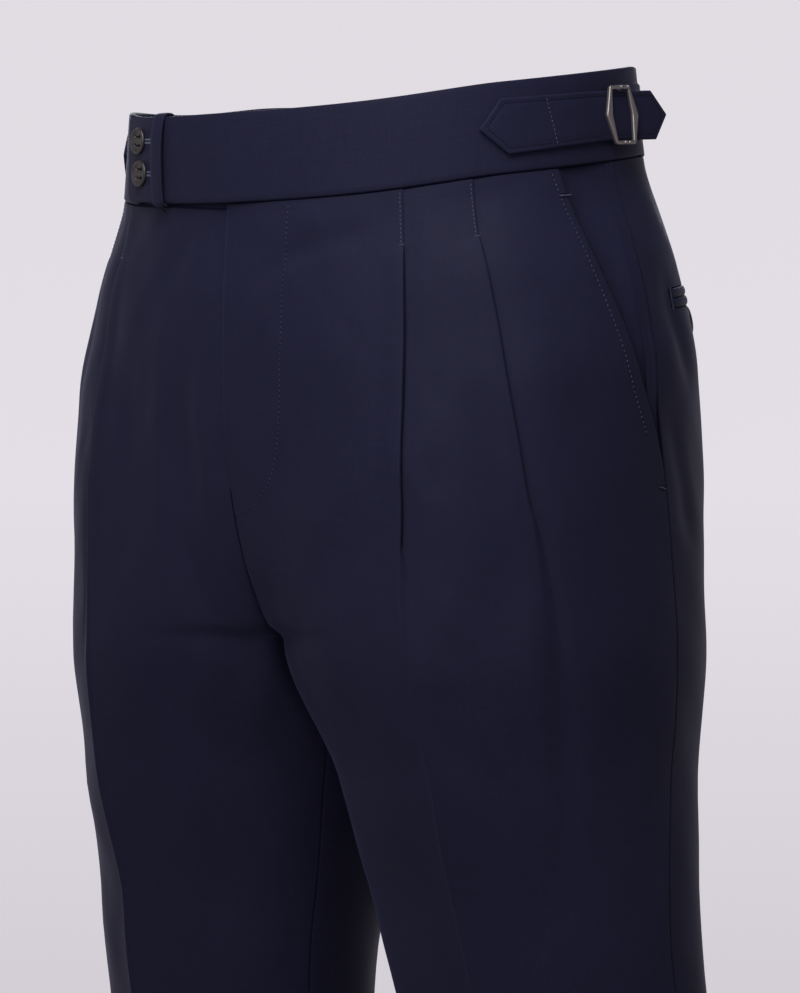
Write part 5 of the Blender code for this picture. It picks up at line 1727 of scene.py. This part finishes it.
class TROUSERS_OT_stage(bpy.types.Operator):
    """Set up the floor, the pale surround, the lights and the camera"""
    bl_idname = "trousers.stage"
    bl_label = "Stage"

    def execute(self, context):
        studio = context.scene.studio_looks
        self.add_floor(studio)
        self.add_surround(context.scene, studio)
        for name, size, place, target in LAMPS:
            self.add_light(f"{name}_light", getattr(studio, f"{name}_power"), size, place, target)
        self.add_camera(context.scene)
        return {"FINISHED"}

    def add_floor(self, studio):
        turns = np.linspace(0, 2 * math.pi, FLOOR_SIDES, endpoint=False)
        shape = sweep([[(r * math.cos(a), r * math.sin(a), FLOOR_HEIGHT) for a in turns]
                       for r in FLOOR_RINGS], capped=False)
        mesh = bpy.data.meshes.new("studio_floor")
        mesh.from_pydata(shape.verts[0].tolist(), [], shape.faces + [tuple(range(FLOOR_SIDES))])
        floor = bpy.data.objects.new("studio_floor", mesh)
        bpy.context.scene.collection.objects.link(floor)
        color = tuple(studio.floor_color)

        def varying(shader):
            cloud = shader.noise(shader.place(), 3.0, 3.0)
            return {"Base Color": shader.mix(cloud, scaled(color, 0.97), scaled(color, 1.03))}

        constants = {"Roughness": 0.9, "Specular IOR Level": 0.1, "Emission Color": (*scaled(color, FLOOR_GLOW), 1),
                     "Emission Strength": studio.floor_glow}
        mesh.materials.append(principled("studio_floor", constants, varying))

    def add_surround(self, scene, studio):
        world = bpy.data.worlds.new("surround")
        world.use_nodes = True
        scene.world = world
        shader = Shader(world.node_tree)
        direction = shader.node("ShaderNodeTexCoord", None, None, output=0)
        parts = shader.node("ShaderNodeSeparateXYZ", None, {0: direction})
        height = Value(shader, parts.socket.node.outputs[2])
        tone = shader.node("ShaderNodeValToRGB", {"stops": SURROUND_TONES},
                           {0: height.clamped(*SURROUND_REACH)})
        background = world.node_tree.nodes["Background"].inputs
        shader.put(tone, background["Color"])
        background["Strength"].default_value = studio.surround

    def add_light(self, name, power, size, place, target):
        light = bpy.data.lights.new(name, "AREA")
        light.energy = power
        light.size = size
        light.color = LAMP_COLOR
        lamp = bpy.data.objects.new(name, light)
        lamp.location = place
        lamp.rotation_mode = "QUATERNION"
        lamp.rotation_quaternion = (Vector(target) - Vector(place)).to_track_quat("-Z", "Y")
        lamp.visible_camera = False
        bpy.context.scene.collection.objects.link(lamp)

    def add_camera(self, scene):
        azimuth = math.radians(CAMERA_AZIMUTH)
        back = Vector((math.sin(azimuth), -math.cos(azimuth), 0.0))
        sideways, height = CAMERA_TARGET
        target = Vector((sideways * math.cos(azimuth), sideways * math.sin(azimuth), height))
        camera = bpy.data.objects.new("camera", bpy.data.cameras.new("camera"))
        camera.data.lens = CAMERA_LENS
        camera.data.sensor_width = 36.0
        camera.location = target + back * CAMERA_AWAY
        camera.rotation_mode = "QUATERNION"
        camera.rotation_quaternion = (-back).to_track_quat("-Z", "Y")
        scene.collection.objects.link(camera)
        scene.camera = camera
        scene.view_settings.view_transform = "Standard"


class TROUSERS_PT_panel(bpy.types.Panel):
    """Lists the steps that build the trousers"""
    bl_idname = "TROUSERS_PT_panel"
    bl_label = "Pleated dress trousers"
    bl_space_type = "VIEW_3D"
    bl_region_type = "UI"
    bl_category = "Trousers"

    def draw(self, context):
        for group in (context.scene.trouser_looks, context.scene.studio_looks):
            column = self.layout.column()
            for name in group.__annotations__:
                column.prop(group, name)
        for step in STEPS:
            self.layout.operator(step.bl_idname)


STEPS = (TROUSERS_OT_stage, TROUSERS_OT_fronts, TROUSERS_OT_backs, TROUSERS_OT_pockets, TROUSERS_OT_hems,
         TROUSERS_OT_waistband, TROUSERS_OT_adjusters, TROUSERS_OT_buttons, TROUSERS_OT_sewing)
CLASSES = (TrouserLooks, StudioLooks, *STEPS, TROUSERS_PT_panel)


def register():
    for cls in CLASSES:
        bpy.utils.register_class(cls)
    bpy.types.Scene.trouser_looks = bpy.props.PointerProperty(type=TrouserLooks)
    bpy.types.Scene.studio_looks = bpy.props.PointerProperty(type=StudioLooks)


def unregister():
    del bpy.types.Scene.studio_looks
    del bpy.types.Scene.trouser_looks
    for cls in reversed(CLASSES):
        bpy.utils.unregister_class(cls)


def main():
    register()
    for step in STEPS:
        group, name = step.bl_idname.split(".")
        getattr(getattr(bpy.ops, group), name)()


if __name__ == "__main__":
    main()
